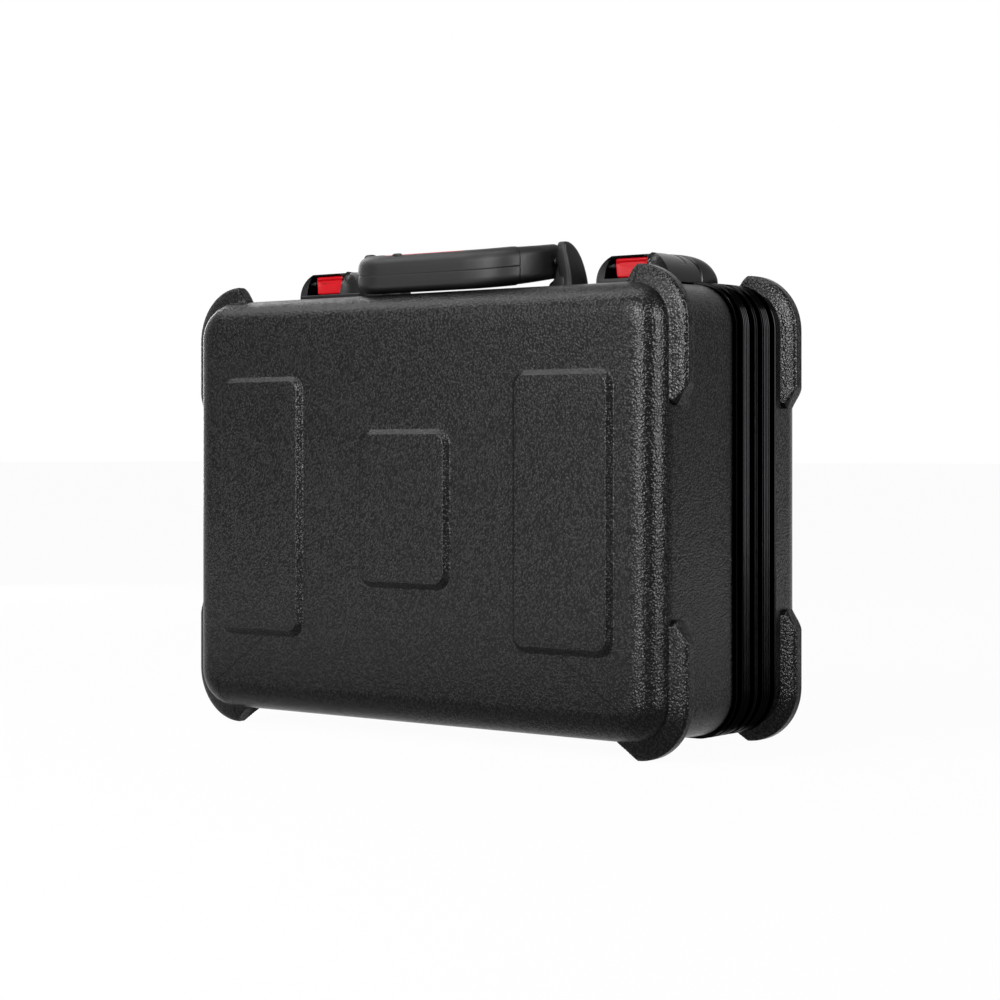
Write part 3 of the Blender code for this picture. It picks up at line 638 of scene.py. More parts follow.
@dataclass(frozen=True)
class Bumper:
    """The corner bumpers of one shell: a rib with a steep front and a ramp at each end.

    Attributes:
        start: Where the rib starts in y.
        span: How wide it is.
        out: How far its crest stands out of the front outline.
        slope: Over how much of its width it rises.
        fillet: The radius at its foot.
        stub: The rib's height at its very end on the sides; along the top and bottom it is top_stub of that.
        top_stub: That share.
        chamfer: How far the corners of its end are cut.
    """

    start: float
    span: float = 18.8
    out: float = 13.8
    slope: float = 6.4
    fillet: float = 0.9
    stub: float = 3.4
    top_stub: float = 0.3
    chamfer: float = 5.2

    def depths(self) -> np.ndarray:
        """The rows across the rib: close at both feet."""
        foot = np.array([0.0, 0.2, 0.45, 0.7, 0.95, 1.3, 1.7, 2.2, 2.8, 3.4, 4.0, 4.5, 4.9, 5.3, 5.6, 5.9, 6.2, 6.6])
        middle = np.linspace(7.4, self.span - 7.4, 5)
        return self.start + np.concatenate([foot, middle, self.span - foot[::-1]])

    def raise_on(self, outline: Outline, depths: np.ndarray, offsets: np.ndarray) -> np.ndarray:
        """Rings with the rib on them.

        Over the first of its width d the rib rises as 1 - (1 - d)^2, with a small round at its foot. Its height
        is the lower of that and of a straight ramp that starts as a stub at the end's cut corners.

        Args:
            outline: The shell's outline.
            depths: The rings' y.
            offsets: The shell's offset at each ring.

        Returns:
            Points shaped (rings, count, 3).
        """
        base, normal, inside = outline.rows()
        near = np.minimum(depths - self.start, self.start + self.span - depths)
        way = np.clip(near, 0.0, self.slope)
        way = np.where(way < self.fillet, way**2 / (2 * self.fillet), way - self.fillet / 2)
        swell = 1.0 - (1.0 - np.clip(way / (self.slope - self.fillet / 2), 0.0, 1.0)) ** 2
        cut = self.chamfer * np.clip(1.0 - np.abs(near) / self.chamfer, 0.0, 1.0)
        fade = np.where(inside < 0.0, np.clip(1.0 + inside / 0.9, 0.0, 1.0), np.clip(1.0 - inside, 0.0, 1.0))
        along = np.stack([normal[:, 1], normal[:, 0]], axis=1) * np.sign(base)
        high = self.out - offsets
        stub = np.where(np.abs(normal[:, 1]) > 0.9, self.top_stub, 1.0)[None] * self.stub
        ramp = stub + (high[:, None] - stub) * np.clip(inside, 0.0, 1.0)[None]
        rise = np.minimum(high[:, None] * swell[:, None], np.where(inside[None] < 0.0, 0.0, ramp))
        reach = (offsets[:, None] + rise)[..., None]
        flat = base[None] + normal[None] * reach + along[None] * (cut[:, None] * fade[None])[..., None]
        return at_depths(flat, depths)


def scaled_rings(ring: np.ndarray, shares: Sequence[float]) -> np.ndarray:
    """Copies of one flat ring drawn towards its middle in x and z, shaped (shares, count, 3)."""
    share = np.asarray(shares, dtype=float)[:, None, None]
    return ring[None] * np.where([True, False, True], share, 1.0)


@dataclass(frozen=True)
class Pad:
    """One raised pad on a flat face.

    Attributes:
        centre: The pad's middle in x.
        width: Its width half way up its wall.
        height: Its height there.
        rise: How far it stands out.
        radius: Its corner radius.
        fillet: The radius at its foot and its rim.
    """

    centre: float
    width: float
    height: float
    rise: float = 4.5
    radius: float = 11.0
    fillet: float = 1.7

    def skin(self, half: Half) -> Skin:
        """The pad's skin: a fillet, a 45 degree wall, a rounded rim and a flat top.

        Args:
            half: The shell that it stands on.

        Returns:
            The closed skin, which runs 1 mm into the shell's wall.
        """
        turn = np.radians(np.linspace(0.0, 45.0, 6))
        reach, run = self.rise / 2, self.fillet * math.tan(math.radians(22.5))
        foot_out = reach + run - self.fillet * np.sin(turn)
        foot_up = self.fillet * (1.0 - np.cos(turn))
        out = np.concatenate([[reach + run], foot_out, -foot_out[::-1]])
        up = np.concatenate([[-1.0], foot_up, self.rise - foot_up[::-1]])
        angle, sign_a, sign_b = corner_turns(12)
        middle = np.stack([sign_a * (self.width / 2 - self.radius), sign_b * (self.height / 2 - self.radius)], axis=1)
        direction = np.stack([np.cos(angle), np.sin(angle)], axis=1)
        flat = middle[None] + direction[None] * (self.radius + out)[:, None, None]
        rings = at_depths(flat, -up if half is Half.BASE else CASE_DEPTH + up)
        rings = np.concatenate([rings, scaled_rings(rings[-1], (0.85, 0.5, 0.15))])
        return Skin(rings + np.array([self.centre, 0.0, 0.0]))


@dataclass(frozen=True)
class Shell:
    """A moulded shell: a flat face with a round edge, drafted sides, corner bumpers and raised pads.

    Attributes:
        half: Base or lid.
        outline: The outline at the front.
        depth: The closed case's depth.
        wall: The wall's thickness.
        edge: The radius between face and sides.
        draft: How far the sides have moved out at the rails.
        bumper: The corner bumpers.
    """

    half: Half
    outline: Outline = field(default_factory=Outline)
    depth: float = CASE_DEPTH
    wall: float = 4.0
    edge: float = 25.0
    draft: float = 2.2
    bumper: Bumper = Bumper(19.6)

    @classmethod
    def of(cls, half: Half) -> Shell:
        """The base's shell, or the lid's with its wider edge and its bumpers further back."""
        return cls(half) if half is Half.BASE else cls(half, edge=27.0, bumper=Bumper(175.1))

    @property
    def ahead(self) -> float:
        """The sign of y from the shell's face into the case."""
        return 1.0 if self.half is Half.BASE else -1.0

    def offset(self, y: np.ndarray, wall: float = 0.0) -> np.ndarray:
        """The sides' offset from the outline: a straight draft less a circular arc near the face.

        Args:
            y: Depths.
            wall: How far inside the outer skin.

        Returns:
            The offsets.
        """
        if self.half is Half.BASE:
            away, draft = y - wall, self.draft * np.minimum(y, 104.0) / 104.0
        else:
            away, draft = self.depth - y - wall, self.draft - 0.037 * np.maximum(0.0, y - 166.0)
        radius = self.edge - wall
        drop = radius - np.sqrt(np.maximum(0.0, radius**2 - np.maximum(0.0, radius - away) ** 2))
        return draft - wall - drop

    def groove(self, y: np.ndarray) -> np.ndarray:
        """The shadow groove in front of the rail, 1.7 mm deep."""
        from_rail = 106.0 - y if self.half is Half.BASE else y - 164.0
        return 1.7 * (1.0 - ease(from_rail, 1.7, 2.3))

    def pads(self) -> list[Pad]:
        """The three pads of a face."""
        return [Pad(-156.95, 90.2, 212.0), Pad(0.0, 90.2, 123.0), Pad(156.95, 90.2, 212.0)]

    def skins(self) -> list[Skin]:
        """The shell's closed wall and its pads.

        Returns:
            The skins.
        """
        turn = np.linspace(0.0, math.pi / 2, 22)
        near = self.edge * (1.0 - np.cos(turn))
        near_in = self.wall + (self.edge - self.wall) * (1.0 - np.cos(turn[::3]))
        if self.half is Half.BASE:
            levels, levels_in = [48, 62, 78, 92, 101, 103.5, 103.8, 104.1, 104.4, 110, 128.5], [45, 80, 128.5]
        else:
            near, near_in = self.depth - near, self.depth - near_in
            levels, levels_in = [166.7, 166.4, 166.1, 165.8, 165.5, 160, 141.5], [160.0, 141.5]
        outer = np.concatenate([near, self.bumper.depths(), levels])
        outer, inner = (np.unique(np.round(y * self.ahead, 4)) * self.ahead
                        for y in (outer, np.concatenate([near_in, levels_in])))
        out = self.offset(outer)
        skin_out = self.bumper.raise_on(self.outline, outer, out - self.groove(outer))
        skin_in = self.outline.rings(inner, self.offset(inner, self.wall))
        face_out = scaled_rings(skin_out[0], (0.1, 0.4, 0.7, 0.9))
        face_in = scaled_rings(skin_in[0], (0.9, 0.5, 0.1))
        wall = np.concatenate([face_out, skin_out, skin_in[::-1], face_in])
        return [Skin(wall)] + [pad.skin(self.half) for pad in self.pads()]

    def build(self) -> None:
        """Adds the shell's piece."""
        name = f"{self.half.value}_shell_moulding"
        add_piece(name, self.skins(), SHELL, self.half.value, [f"{self.half.value}_shell"], 40.0)


@dataclass(frozen=True)
class Rail:
    """The anodised rail round a rim: beads at both edges and a ribbed band between.

    Attributes:
        half: Base or lid.
        start: Where the rail starts on the base; the lid's is its mirror image.
        parting: Where the rails meet.
        stand: The offset of the shell's side under the rail.
    """

    half: Half
    start: float = 106.0
    parting: float = 135.0
    stand: float = 2.2

    def relief(self, t: np.ndarray) -> np.ndarray:
        """The rail's height over the shell's side at a distance from its front edge.

        Beads are half circles, the raised band has four narrow grooves, and each step eases over 0.35 mm.

        Args:
            t: Distances from the front edge.

        Returns:
            The heights.
        """
        height = np.full_like(t, 2.15)
        height += 0.55 * (ease(t, 8.3, 8.7) - ease(t, 19.3, 19.7))
        for at in (10.6, 12.9, 15.2, 17.5):
            height -= 0.45 * np.clip(1.0 - np.abs(t - at) / 0.55, 0.0, 1.0)
        height += 0.5 * np.sqrt(np.clip(1.0 - ((t - 0.7) / 0.7) ** 2, 0.0, 1.0))
        height += 0.5 * np.sqrt(np.clip(1.0 - ((t - 27.6) / 0.8) ** 2, 0.0, 1.0))
        height -= 0.5 * ease(t, 28.3, 28.9)
        return height

    def section(self) -> np.ndarray:
        """The rail's closed section as depths and offsets.

        Returns:
            Points shaped (count, 2).
        """
        t = np.unique(np.concatenate([np.arange(0.0, 28.8, 0.23), [28.85]]))
        outer = np.stack([self.start + t, self.stand + self.relief(t)], axis=1)
        edge, s = self.parting - 0.15, self.stand
        joint = [(131.6, s - 0.4), (131.6, s - 3.2)] if self.half is Half.BASE else [(137.4, s - 1.0), (137.4, s - 2.6)]
        top, low = joint[0][1], joint[1][1]
        inner = [(edge, top), *joint, (edge, low), (edge, s - 6.0), (124.0, s - 6.0), (124.0, s - 4.3),
                 (128.8, s - 4.3), (128.8, s + 0.3), (self.start, s + 0.3)]
        return np.concatenate([outer, np.array([(edge, outer[-1, 1] - 0.15)]), np.array(inner)])

    def build(self) -> None:
        """Adds the rail's piece."""
        section = self.section()
        y = section[:, 0] if self.half is Half.BASE else 2 * self.parting - section[:, 0]
        rings = Outline().rings(y, section[:, 1])
        name = f"{self.half.value}_valance"
        add_piece(f"{name}_extrusion", [Skin(rings, wrap_rows=True, caps=False)], RAIL, self.half.value, [name], 30.0)


# Handle


@dataclass(frozen=True)
class Handle:
    """The folding handle: a bow with a rubber sleeve, two arms, a red strip and two brackets.

    Attributes:
        bend_x: Where the straight bar turns into the bends.
        bend_r: The bends' radius along the middle line.
        grip_y: The straight bar's middle in y.
        grip_z: Its middle in z.
        pivot_y: The pivot's y.
        pivot_z: The pivot's z.
        depth: The sleeve's depth.
        thick: The sleeve's thickness up and down.
        sleeve_turn: The turn round each bend at which the sleeve ends.
        arm: The arms' thickness at the pivots.
        arm_end: The arms' radius round the pivots.
        cheek_in: The brackets' cheeks' inner face.
        cheek_out: Their outer face.
        boss_r: The radius of the boss round each pivot.
    """

    bend_x: float = 43.0
    bend_r: float = 34.5
    grip_y: float = 33.0
    grip_z: float = 191.2
    pivot_y: float = 82.0
    pivot_z: float = 198.3
    depth: float = 29.0
    thick: float = 31.0
    sleeve_turn: float = 59.5
    arm: float = 14.0
    arm_end: float = 14.0
    cheek_in: float = 97.5
    cheek_out: float = 109.0
    boss_r: float = 4.9

    def rise(self, y: np.ndarray) -> np.ndarray:
        """The handle's slope: a straight line from the bar up to the pivots."""
        return (self.pivot_z - self.grip_z) * (y - self.grip_y) / (self.pivot_y - self.grip_y)

    def sweep(self, x: np.ndarray, turn: np.ndarray, out: np.ndarray, up: np.ndarray) -> np.ndarray:
        """Sections along the bow: a straight bar, a circular bend and a straight arm.

        Args:
            x: Where each section stands on the straight bar, or the bend's signed start.
            turn: The turn round the bend in degrees; past 90 it is millimetres along the arm.
            out: Each section's offsets away from the bow's inside, shaped (sections, count).
            up: Its offsets upward.

        Returns:
            Points shaped (sections, count, 3).
        """
        angle = np.radians(np.minimum(turn, 90.0))[:, None]
        reach = self.bend_r + out
        side = np.sign(x)[:, None]
        px = x[:, None] + side * reach * np.sin(angle)
        py = self.grip_y + self.bend_r - reach * np.cos(angle) + np.maximum(0.0, turn - 90.0)[:, None]
        return np.stack([px, py, self.grip_z + self.rise(py) + up], axis=-1)

    def sleeve(self) -> Skin:
        """The rubber sleeve: a rounded section with a fine seam, drawn in over its last 1.3 mm.

        Returns:
            The closed skin.
        """
        less_at = np.array([0.0, 0.12, 0.35, 0.7, 1.3])
        less = np.array([1.3, 0.75, 0.36, 0.12, 0.0])
        turns = np.concatenate([np.linspace(0.0, 54.0, 24), self.sleeve_turn - less_at[::-1] * 1.66])
        shrink = np.concatenate([np.zeros(24), less[::-1]])
        straight = np.linspace(-self.bend_x, self.bend_x, 16)[1:-1]
        x = np.concatenate([np.full(turns.size, -self.bend_x), straight, np.full(turns.size, self.bend_x)])
        turn = np.concatenate([turns[::-1], np.zeros(straight.size), turns])
        drawn = np.concatenate([shrink[::-1], np.zeros(straight.size), shrink])
        section = round_rect(self.depth / 2, self.thick / 2, 9.5, 12, 0.3)
        length = np.linalg.norm(section, axis=1)
        share = 1.0 - drawn[:, None] / length[None]
        return Skin(self.sweep(x, turn, section[None, :, 0] * share, section[None, :, 1] * share))

    def arm_skin(self, side: Side) -> Skin:
        """One arm: its depth eases from the sleeve's to 14 mm, and its end is round about the pivot.

        Args:
            side: Left or right.

        Returns:
            The closed skin.
        """
        back = self.pivot_y - self.grip_y - self.bend_r
        stop = 90.0 + back
        turn = np.concatenate([np.linspace(self.sleeve_turn - 2.0, stop, 26),
                               stop + self.arm_end * np.sin(np.radians(np.linspace(8.0, 88.0, 12)))])
        share = np.clip((turn - self.sleeve_turn) / (stop - self.sleeve_turn), 0.0, 1.0)
        depth = self.arm + (28.2 - self.arm) * (1.0 - ease(share, 0.0, 0.86))
        along = np.maximum(0.0, turn - stop)
        high = (self.thick / 2 - 0.55) + (self.arm_end - self.thick / 2 + 0.55) * share
        high = np.sqrt(high**2 - along**2)
        radius = np.minimum(8.6 - 3.8 * share, np.minimum(high, depth / 2) - 0.1)
        out = (self.depth - depth) / 2 - 0.45 * (1.0 - share)
        angle, sign_a, sign_b = corner_turns(9)
        a = out[:, None] + sign_a * (depth / 2 - radius)[:, None] + radius[:, None] * np.cos(angle)
        b = sign_b * (high - radius)[:, None] + radius[:, None] * np.sin(angle)
        points = self.sweep(np.full(turn.size, side.value * self.bend_x), turn, a, b)
        past = (along > 0.0)[:, None]
        points[..., 2] -= np.where(past, self.rise(points[..., 1]) - self.rise(np.array(self.pivot_y)), 0.0)
        return Skin(points)

    def bar(self) -> Skin:
        """The square bar inside the sleeve, from arm to arm.

        Returns:
            The closed skin.
        """
        turns = np.linspace(0.0, 62.0, 14)
        x = np.concatenate([np.full(14, -self.bend_x), np.full(14, self.bend_x)])
        section = round_rect(8.0, 8.0, 2.0, 4)
        turn = np.concatenate([turns[::-1], turns])
        spread = np.ones((28, 1))
        return Skin(self.sweep(x, turn, section[None, :, 0] * spread, section[None, :, 1] * spread))

    def strip(self) -> Skin:
        """The red strip along the sleeve's top: a superellipse in x and y, so that its ends are rounded.

        Returns:
            The closed skin.
        """
        t = np.linspace(0.0, 2.0 * math.pi, 48, endpoint=False)
        x = -3.0 + 41.0 * np.sign(np.cos(t)) * np.abs(np.cos(t)) ** 0.12
        y = 28.1 + 1.35 * np.sign(np.sin(t)) * np.abs(np.sin(t)) ** 0.7
        level = self.grip_z + self.thick / 2 + self.rise(y)
        rings = [np.stack([x, y, level + up], axis=1) for up in (-1.1, -0.05, 0.08)]
        inner = np.stack([x * 0.97 - 0.09, 28.1 + (y - 28.1) * 0.6, level + 0.16], axis=1)
        return Skin(np.stack([*rings, inner]))

    def stud(self) -> Skin:
        """A low oval stud at the strip's left end: rings of a flattened ellipsoid.

        Returns:
            The closed skin.
        """
        turn = np.linspace(0.0, 2.0 * math.pi, 32, endpoint=False)
        lift = np.radians(np.array([-40.0, 0.0, 25.0, 45.0, 60.0, 72.0, 82.0]))
        wide, high = np.cos(lift) ** 0.5, 1.6 * np.sin(lift)
        x = -30.6 + 5.0 * wide[:, None] * np.cos(turn)[None]
        y = 27.2 + 2.4 * wide[:, None] * np.sin(turn)[None]
        z = self.grip_z + self.thick / 2 + self.rise(y) - 0.1 + high[:, None]
        return Skin(np.stack([x, y, z], axis=-1))

    def bracket(self, side: Side) -> list[Skin]:
        """A bracket: a cheek that leans inward towards its crown, a flared foot and a boss.

        Args:
            side: Left or right.

        Returns:
            The bracket's skins.
        """
        line = [(75.6, 174.6), (88.0, 174.4), (102.6, 174.6), (102.2, 181.0), (99.0, 190.5), (95.4, 199.7),
                (91.8, 205.2), (87.4, 209.4), (82.0, 212.4), (77.2, 213.4), (72.6, 212.8), (70.9, 209.2),
                (71.3, 204.0), (72.9, 194.6), (75.2, 182.0)]
        cheek = plate(smoothed(line), 0, side.value * self.cheek_in, side.value * self.cheek_out, 2.4, 3.4)
        share = (np.abs(cheek.points[..., 0]) - self.cheek_in) / (self.cheek_out - self.cheek_in)
        top = cheek.points[..., 2]
        lean = 2.4 * ease(top, 186.0, 216.0) * share - 1.0 * ease(top, 196.5, 212.0) * (1.0 - share)
        cheek.points[..., 0] -= side.value * lean
        flare = [(104.0, 174.5), (95.0, 174.3), (87.8, 174.5), (87.8, 179.4), (90.0, 181.2), (92.8, 182.8),
                 (94.2, 187.5), (96.6, 194.5), (100.0, 199.0), (104.0, 199.0)]
        foot = plate(smoothed([(side.value * a, b) for a, b in flare]), 1, 74.6, 101.9, 1.6, 1.6)
        turn = np.linspace(0.0, 2.0 * math.pi, 40, endpoint=False)
        round_boss = np.stack([self.pivot_y + self.boss_r * np.cos(turn), self.pivot_z + self.boss_r * np.sin(turn)],
                              axis=1)
        boss = plate(round_boss, 0, side.value * 92.65, side.value * 99.5, 0.4, 0.2)
        return [cheek, foot, boss]

    def build(self) -> None:
        """Adds the arms and bar, the sleeve, the strip and the brackets."""
        add_piece("handle_bow", [self.bar(), *(self.arm_skin(side) for side in Side)], DARK, "handle", ["handle_core"])
        add_piece("handle_sleeve", [self.sleeve(), self.stud()], RUBBER, "handle", ["handle_grip"], 50.0)
        add_piece("handle_strip", [self.strip()], INLAY, "handle", ["handle_inlay"])
        for side in Side:
            node = f"handle_bracket_{side.label}"
            add_piece(f"{node}_moulding", self.bracket(side), DARK, "base", [node], 38.0)


# Latches


@dataclass(frozen=True)
class Latch:
    """One trigger latch: the housing, the keeper behind it and the red trigger.

    Attributes:
        side: Left or right.
        half: Half the dome's width.
        height: The dome's height.
        foot: Where the dome's section starts in z.
        power: The section's power at the front.
        seam: Where the housing ends.
        wall: The dome's wall.
        rail_at: Where the rail starts under the latch.
        shell_top: The housing's foot in front of that.
        rail_top: The foot behind it.
        brow: The brow plane's height over the front edge.
        window_y: The window's plane.
    """

    side: Side
    half: float = 35.0
    height: float = 25.5
    foot: float = 178.0
    power: float = 2.3
    seam: float = 134.6
    wall: float = 2.5
    rail_at: float = 105.6
    shell_top: float = 174.9
    rail_top: float = 178.75
    brow: float = 200.3
    window_y: float = 89.2

    @property
    def centre(self) -> float:
        """The latch's middle in x."""
        return 160.0 * self.side.value

    def arch(
        self, share: np.ndarray, half: float | np.ndarray, height: float | np.ndarray, power: float | np.ndarray
    ) -> np.ndarray:
        """A superellipse over the foot line: (u/half)^power + (h/height)^power = 1.

        Args:
            share: Places along the section, 0 at the left foot and 1 at the right.
            half: Half widths.
            height: Heights.
            power: Powers.

        Returns:
            Offsets u and heights z on the last axis.
        """
        angle = math.pi * (1.0 - share)
        c, s = np.cos(angle), np.sin(angle)
        u = half * np.sign(c) * np.abs(c) ** (2.0 / power)
        return np.stack([u, self.foot + height * np.maximum(s, 0.0) ** (2.0 / power)], axis=-1)

    def rows_of(self, u: np.ndarray, y: np.ndarray, z: np.ndarray) -> np.ndarray:
        """Joins offsets u, depths y and heights z into points beside this latch's middle."""
        u, y, z = np.broadcast_arrays(u, y, z)
        return np.stack([self.centre + u, y, z], axis=-1)

    def floor_at(self, y: np.ndarray) -> np.ndarray:
        """The height under the dome: just in the shell in front, just over the rail behind."""
        return np.where(y < self.rail_at, self.shell_top, self.rail_top)

    def roof(self, u: np.ndarray, y: np.ndarray, share: np.ndarray) -> np.ndarray:
        """The dome's height: the superellipse, cut by a nearly level brow plane over the window.

        Args:
            u: Offsets from the latch's middle.
            y: Depths.
            share: Places along the section, at which the brow ends.

        Returns:
            The heights.
        """
        inside = np.clip(np.abs(u) / self.half, 0.0, 1.0)
        dome = self.foot + self.height * (1.0 - inside**self.power) ** (1.0 / self.power)
        brow = self.brow + 0.105 * (y - 88.0) + 9.0 * ease(share, 0.628, 0.668)
        return np.minimum(dome, brow)

    def edge_line(self, share: np.ndarray) -> tuple[np.ndarray, np.ndarray]:
        """The dome's front edge: upright at the left, straight over the window, back to the peak, then down the
        crease on the right.

        Args:
            share: Places along the section.

        Returns:
            The edge's u and y.
        """
        marks = np.array([0.0, 0.30, 0.36, 0.59, 0.61, 0.66, 0.70, 0.76, 0.83, 0.91, 1.0])
        u = np.array([-35.0, -24.4, -19.6, 10.4, 11.8, 13.6, 18.4, 23.6, 29.0, 33.4, 35.0])
        y = np.array([88.4, 88.4, 88.4, 88.6, 90.4, 101.8, 96.5, 92.2, 89.4, 88.7, 88.4])
        return np.interp(share, marks, u), np.interp(share, marks, y)

    def window_line(self, share: np.ndarray) -> tuple[np.ndarray, np.ndarray]:
        """The window's edge from its lower left corner over the top to its lower right corner.

        Args:
            share: Places along the section.

        Returns:
            The edge's u and z.
        """
        marks = np.array([0.0, 0.06, 0.14, 0.22, 0.30, 0.345, 0.36, 0.61, 0.63, 0.66, 0.75, 0.88, 1.0])
        u = np.array([-27.6, -27.5, -26.9, -25.6, -23.4, -21.0, -19.4, 12.8, 13.6, 13.9, 13.2, 11.6, 10.3])
        z = np.array([181.2, 183.0, 187.0, 191.6, 196.0, 198.6, 199.3, 199.5, 199.2, 197.6, 193.0, 187.0, 181.2])
        return np.interp(share, marks, u), np.interp(share, marks, z)

    def housing(self) -> list[Skin]:
        """The housing's skin, which runs from its rear edge forward over the dome, down the front face, in at
        the window and back along the inside, and the sill under the window.

        Returns:
            The skins.
        """
        share = np.linspace(0.0, 1.0, 181)
        u0, y0 = self.edge_line(share)
        w_u, w_z = self.window_line(share)
        run = np.linspace(0.0, 1.0, 120)
        y = self.seam + (y0[None] - self.seam) * run[:, None]
        dome = self.arch(share, self.half, self.height, self.power)
        lean = ease(run, 0.3, 1.0)[:, None]
        u = dome[None, :, 0] * (1.0 - lean) + u0[None] * lean
        z = self.roof(u, y, share) - self.tab(u, y) - self.joint(y)
        skin = self.rows_of(u, y, z)
        window = self.rows_of(w_u, np.full_like(w_u, self.window_y), w_z)
        step = np.linspace(0.0, 1.0, 19)[1:]
        front = skin[-1][None] + (window - skin[-1])[None] * step[:, None, None]
        front[..., 1] += 1.5 * ease(share, 0.64, 0.74)[None] * np.sin(step * math.pi)[:, None]
        bay = []
        for back, grow in ((89.45, -0.2), (90.0, -0.35), (92.0, -0.4), (97.0, -0.2), (104.0, 0.4)):
            lift = 0.35 * np.clip((w_z - 190.0) / 9.0, 0.0, 1.0) * (grow < 0)
            bay.append(self.rows_of(w_u - grow * np.sign(w_u + 7.0), np.full_like(w_u, back), w_z - lift))
        inner_arch = self.arch(share, self.half - self.wall, self.height - self.wall, self.power)
        for back in (108.0, 121.0, self.seam):
            bay.append(self.rows_of(inner_arch[:, 0], np.full_like(share, back), inner_arch[:, 1]))
        grid = np.concatenate([skin, front, np.stack(bay)])
        low = (share < 0.003) | (share > 0.997)
        grid[..., 2] = np.maximum(grid[..., 2], self.floor_at(grid[..., 1]))
        grid[:, low, 2] = self.floor_at(grid[:, low, 1])
        return [Skin(grid, wrap_rows=True, wrap_cols=False, caps=False, side_caps=True), self.sill()]

    def tab(self, u: np.ndarray, y: np.ndarray) -> np.ndarray:
        """The shallow tab on the right of the dome, a rounded rectangle sunk 0.35 mm with a groove round it.

        With v across the tab and w along it, the distance to its outline is that of a rounded box.

        Args:
            u: Offsets from the latch's middle.
            y: Depths.

        Returns:
            How far the dome is sunk.
        """
        corner = 3.0
        v = np.abs(y + 0.42 * (u - 20.0) - 120.8) - 4.4 + corner
        w = u - 29.6 + corner
        away = np.hypot(np.maximum(v, 0.0), np.maximum(w, 0.0)) + np.minimum(np.maximum(v, w), 0.0) - corner
        below_crest = ease(u, 4.0, 7.0)
        return (0.35 * ease(-away, 0.0, 0.5) + 0.55 * np.clip(1.0 - np.abs(away) / 0.6, 0.0, 1.0)) * below_crest

    def joint(self, y: np.ndarray) -> np.ndarray:
        """The rounded rear edge at the seam: a quarter circle 0.7 mm deep."""
        near = np.clip(1.0 - (self.seam - y) / 0.7, 0.0, 1.0)
        return 0.7 * (1.0 - np.sqrt(1.0 - near**2))

    def sill(self) -> Skin:
        """The rounded sill under the window, drawn across the housing.

        Returns:
            The closed skin.
        """
        profile = smoothed([(88.1, 174.8), (88.1, 179.0), (88.1, 182.5), (89.9, 182.5), (90.4, 181.4), (93.0, 181.3),
                            (96.0, 181.3), (96.0, 174.8)], 2)
        u = np.concatenate([[-34.9], np.linspace(-34.4, 34.4, 7), [34.9]])
        shrink = np.array([0.7] + [0.0] * 7 + [0.7])
        line = drawn_in(profile, shrink)
        return Skin(self.rows_of(u[:, None], line[..., 0], line[..., 1]))

    def keeper(self) -> Skin:
        """The rear dome: its section grows squarer and lower towards the back.

        With k from 0 to 1 over the last 28 mm, the power is 2.3 + 1.95k, the height share is
        (1 - k^3.23)^(1/2.02) and the width share is (1 - k^21.5)^(1/21.5).

        Returns:
            The closed skin, with its inner wall.
        """
        share = np.linspace(0.0, 1.0, 97)
        k = 0.1 + 0.9 * np.sin(np.linspace(0.0, math.pi / 2, 46))
        k[-1] = 0.9995
        y = 132.6 + 28.0 * k
        rim = 0.7 * (1.0 - np.sqrt(1.0 - np.clip(1.0 - (y - 135.4) / 0.7, 0.0, 1.0) ** 2))
        high = self.height * (1.0 - k**3.23) ** (1 / 2.02) - rim
        wide = self.half * (1.0 - k**21.5) ** (1 / 21.5) - rim
        power = self.power + 1.95 * k
        outer = self.arch(share[None], wide[:, None], high[:, None], power[:, None])
        inner_high = np.where(y < 154.0, np.maximum(high - self.wall, 0.9), 0.9)
        inner = self.arch(share[None, ::-1], np.maximum(wide - self.wall, 5.0)[:, None], inner_high[:, None],
                          power[:, None])
        both = np.concatenate([outer, inner], axis=1)
        return Skin(self.rows_of(both[..., 0], y[:, None], np.maximum(both[..., 1], self.rail_top)))

    def trigger(self) -> tuple[Skin, Skin]:
        """The trigger: a tapered plate, hollowed for the finger, with a lip along its top.

        Its face is a grid with a across and b up, both from -1 to 1. Under the lip the hollow is deepest, and it
        comes back out towards the bottom. Across the face it is that depth times 1 - |a|^8.

        Returns:
            The skin of the face and the skin of the edge behind it.
        """
        a, b = np.meshgrid(np.linspace(-1.0, 1.0, 61), np.linspace(-1.0, 1.0, 61))
        drop = (1.0 - b) / 2
        left, right = -18.2 + 1.5 * drop, 12.8 - 2.3 * drop
        tight = 1.0 - 0.05 * np.clip(np.hypot(a, b) - 1.25, 0.0, 1.0) / 0.16
        u = (left + right) / 2 + (right - left) / 2 * a * tight
        z = 190.75 + 7.75 * b * tight
        under_lip = ease(-b, -0.80, -0.36) * (0.22 + 0.78 * np.clip((b + 1.0) / 1.5, 0.0, 1.0))
        hollow = 2.0 * under_lip * (1.0 - np.abs(a) ** 8)
        edge = 1.3 * np.maximum(np.abs(a) ** 16, np.abs(b) ** 14)
        y = 90.3 + hollow + edge + 0.5 * np.clip(b, 0.0, 1.0)
        face = self.rows_of(u, y, z)
        rim = np.concatenate([face[0], face[1:, -1], face[-1, -2::-1], face[-2:0:-1, 0]])
        back = [rim + np.array([0.0, step, 0.0]) for step in (0.8, 1.6)]
        return Skin(face, wrap_cols=False, caps=False), Skin(np.stack([rim, *back]))

    def build(self) -> None:
        """Adds the housing, the keeper and the trigger."""
        name = f"latch_{self.side.label}"
        add_piece(f"{name}_front_dome", self.housing(), NYLON, "base", [f"{name}_housing"], 30.0)
        add_piece(f"{name}_rear_dome", [self.keeper()], NYLON, "lid", [f"{name}_keeper"], 34.0)
        add_piece(f"{name}_finger_plate", self.trigger(), RED, f"trigger_{self.side.label}", [f"{name}_trigger"], 40.0)


# Foam


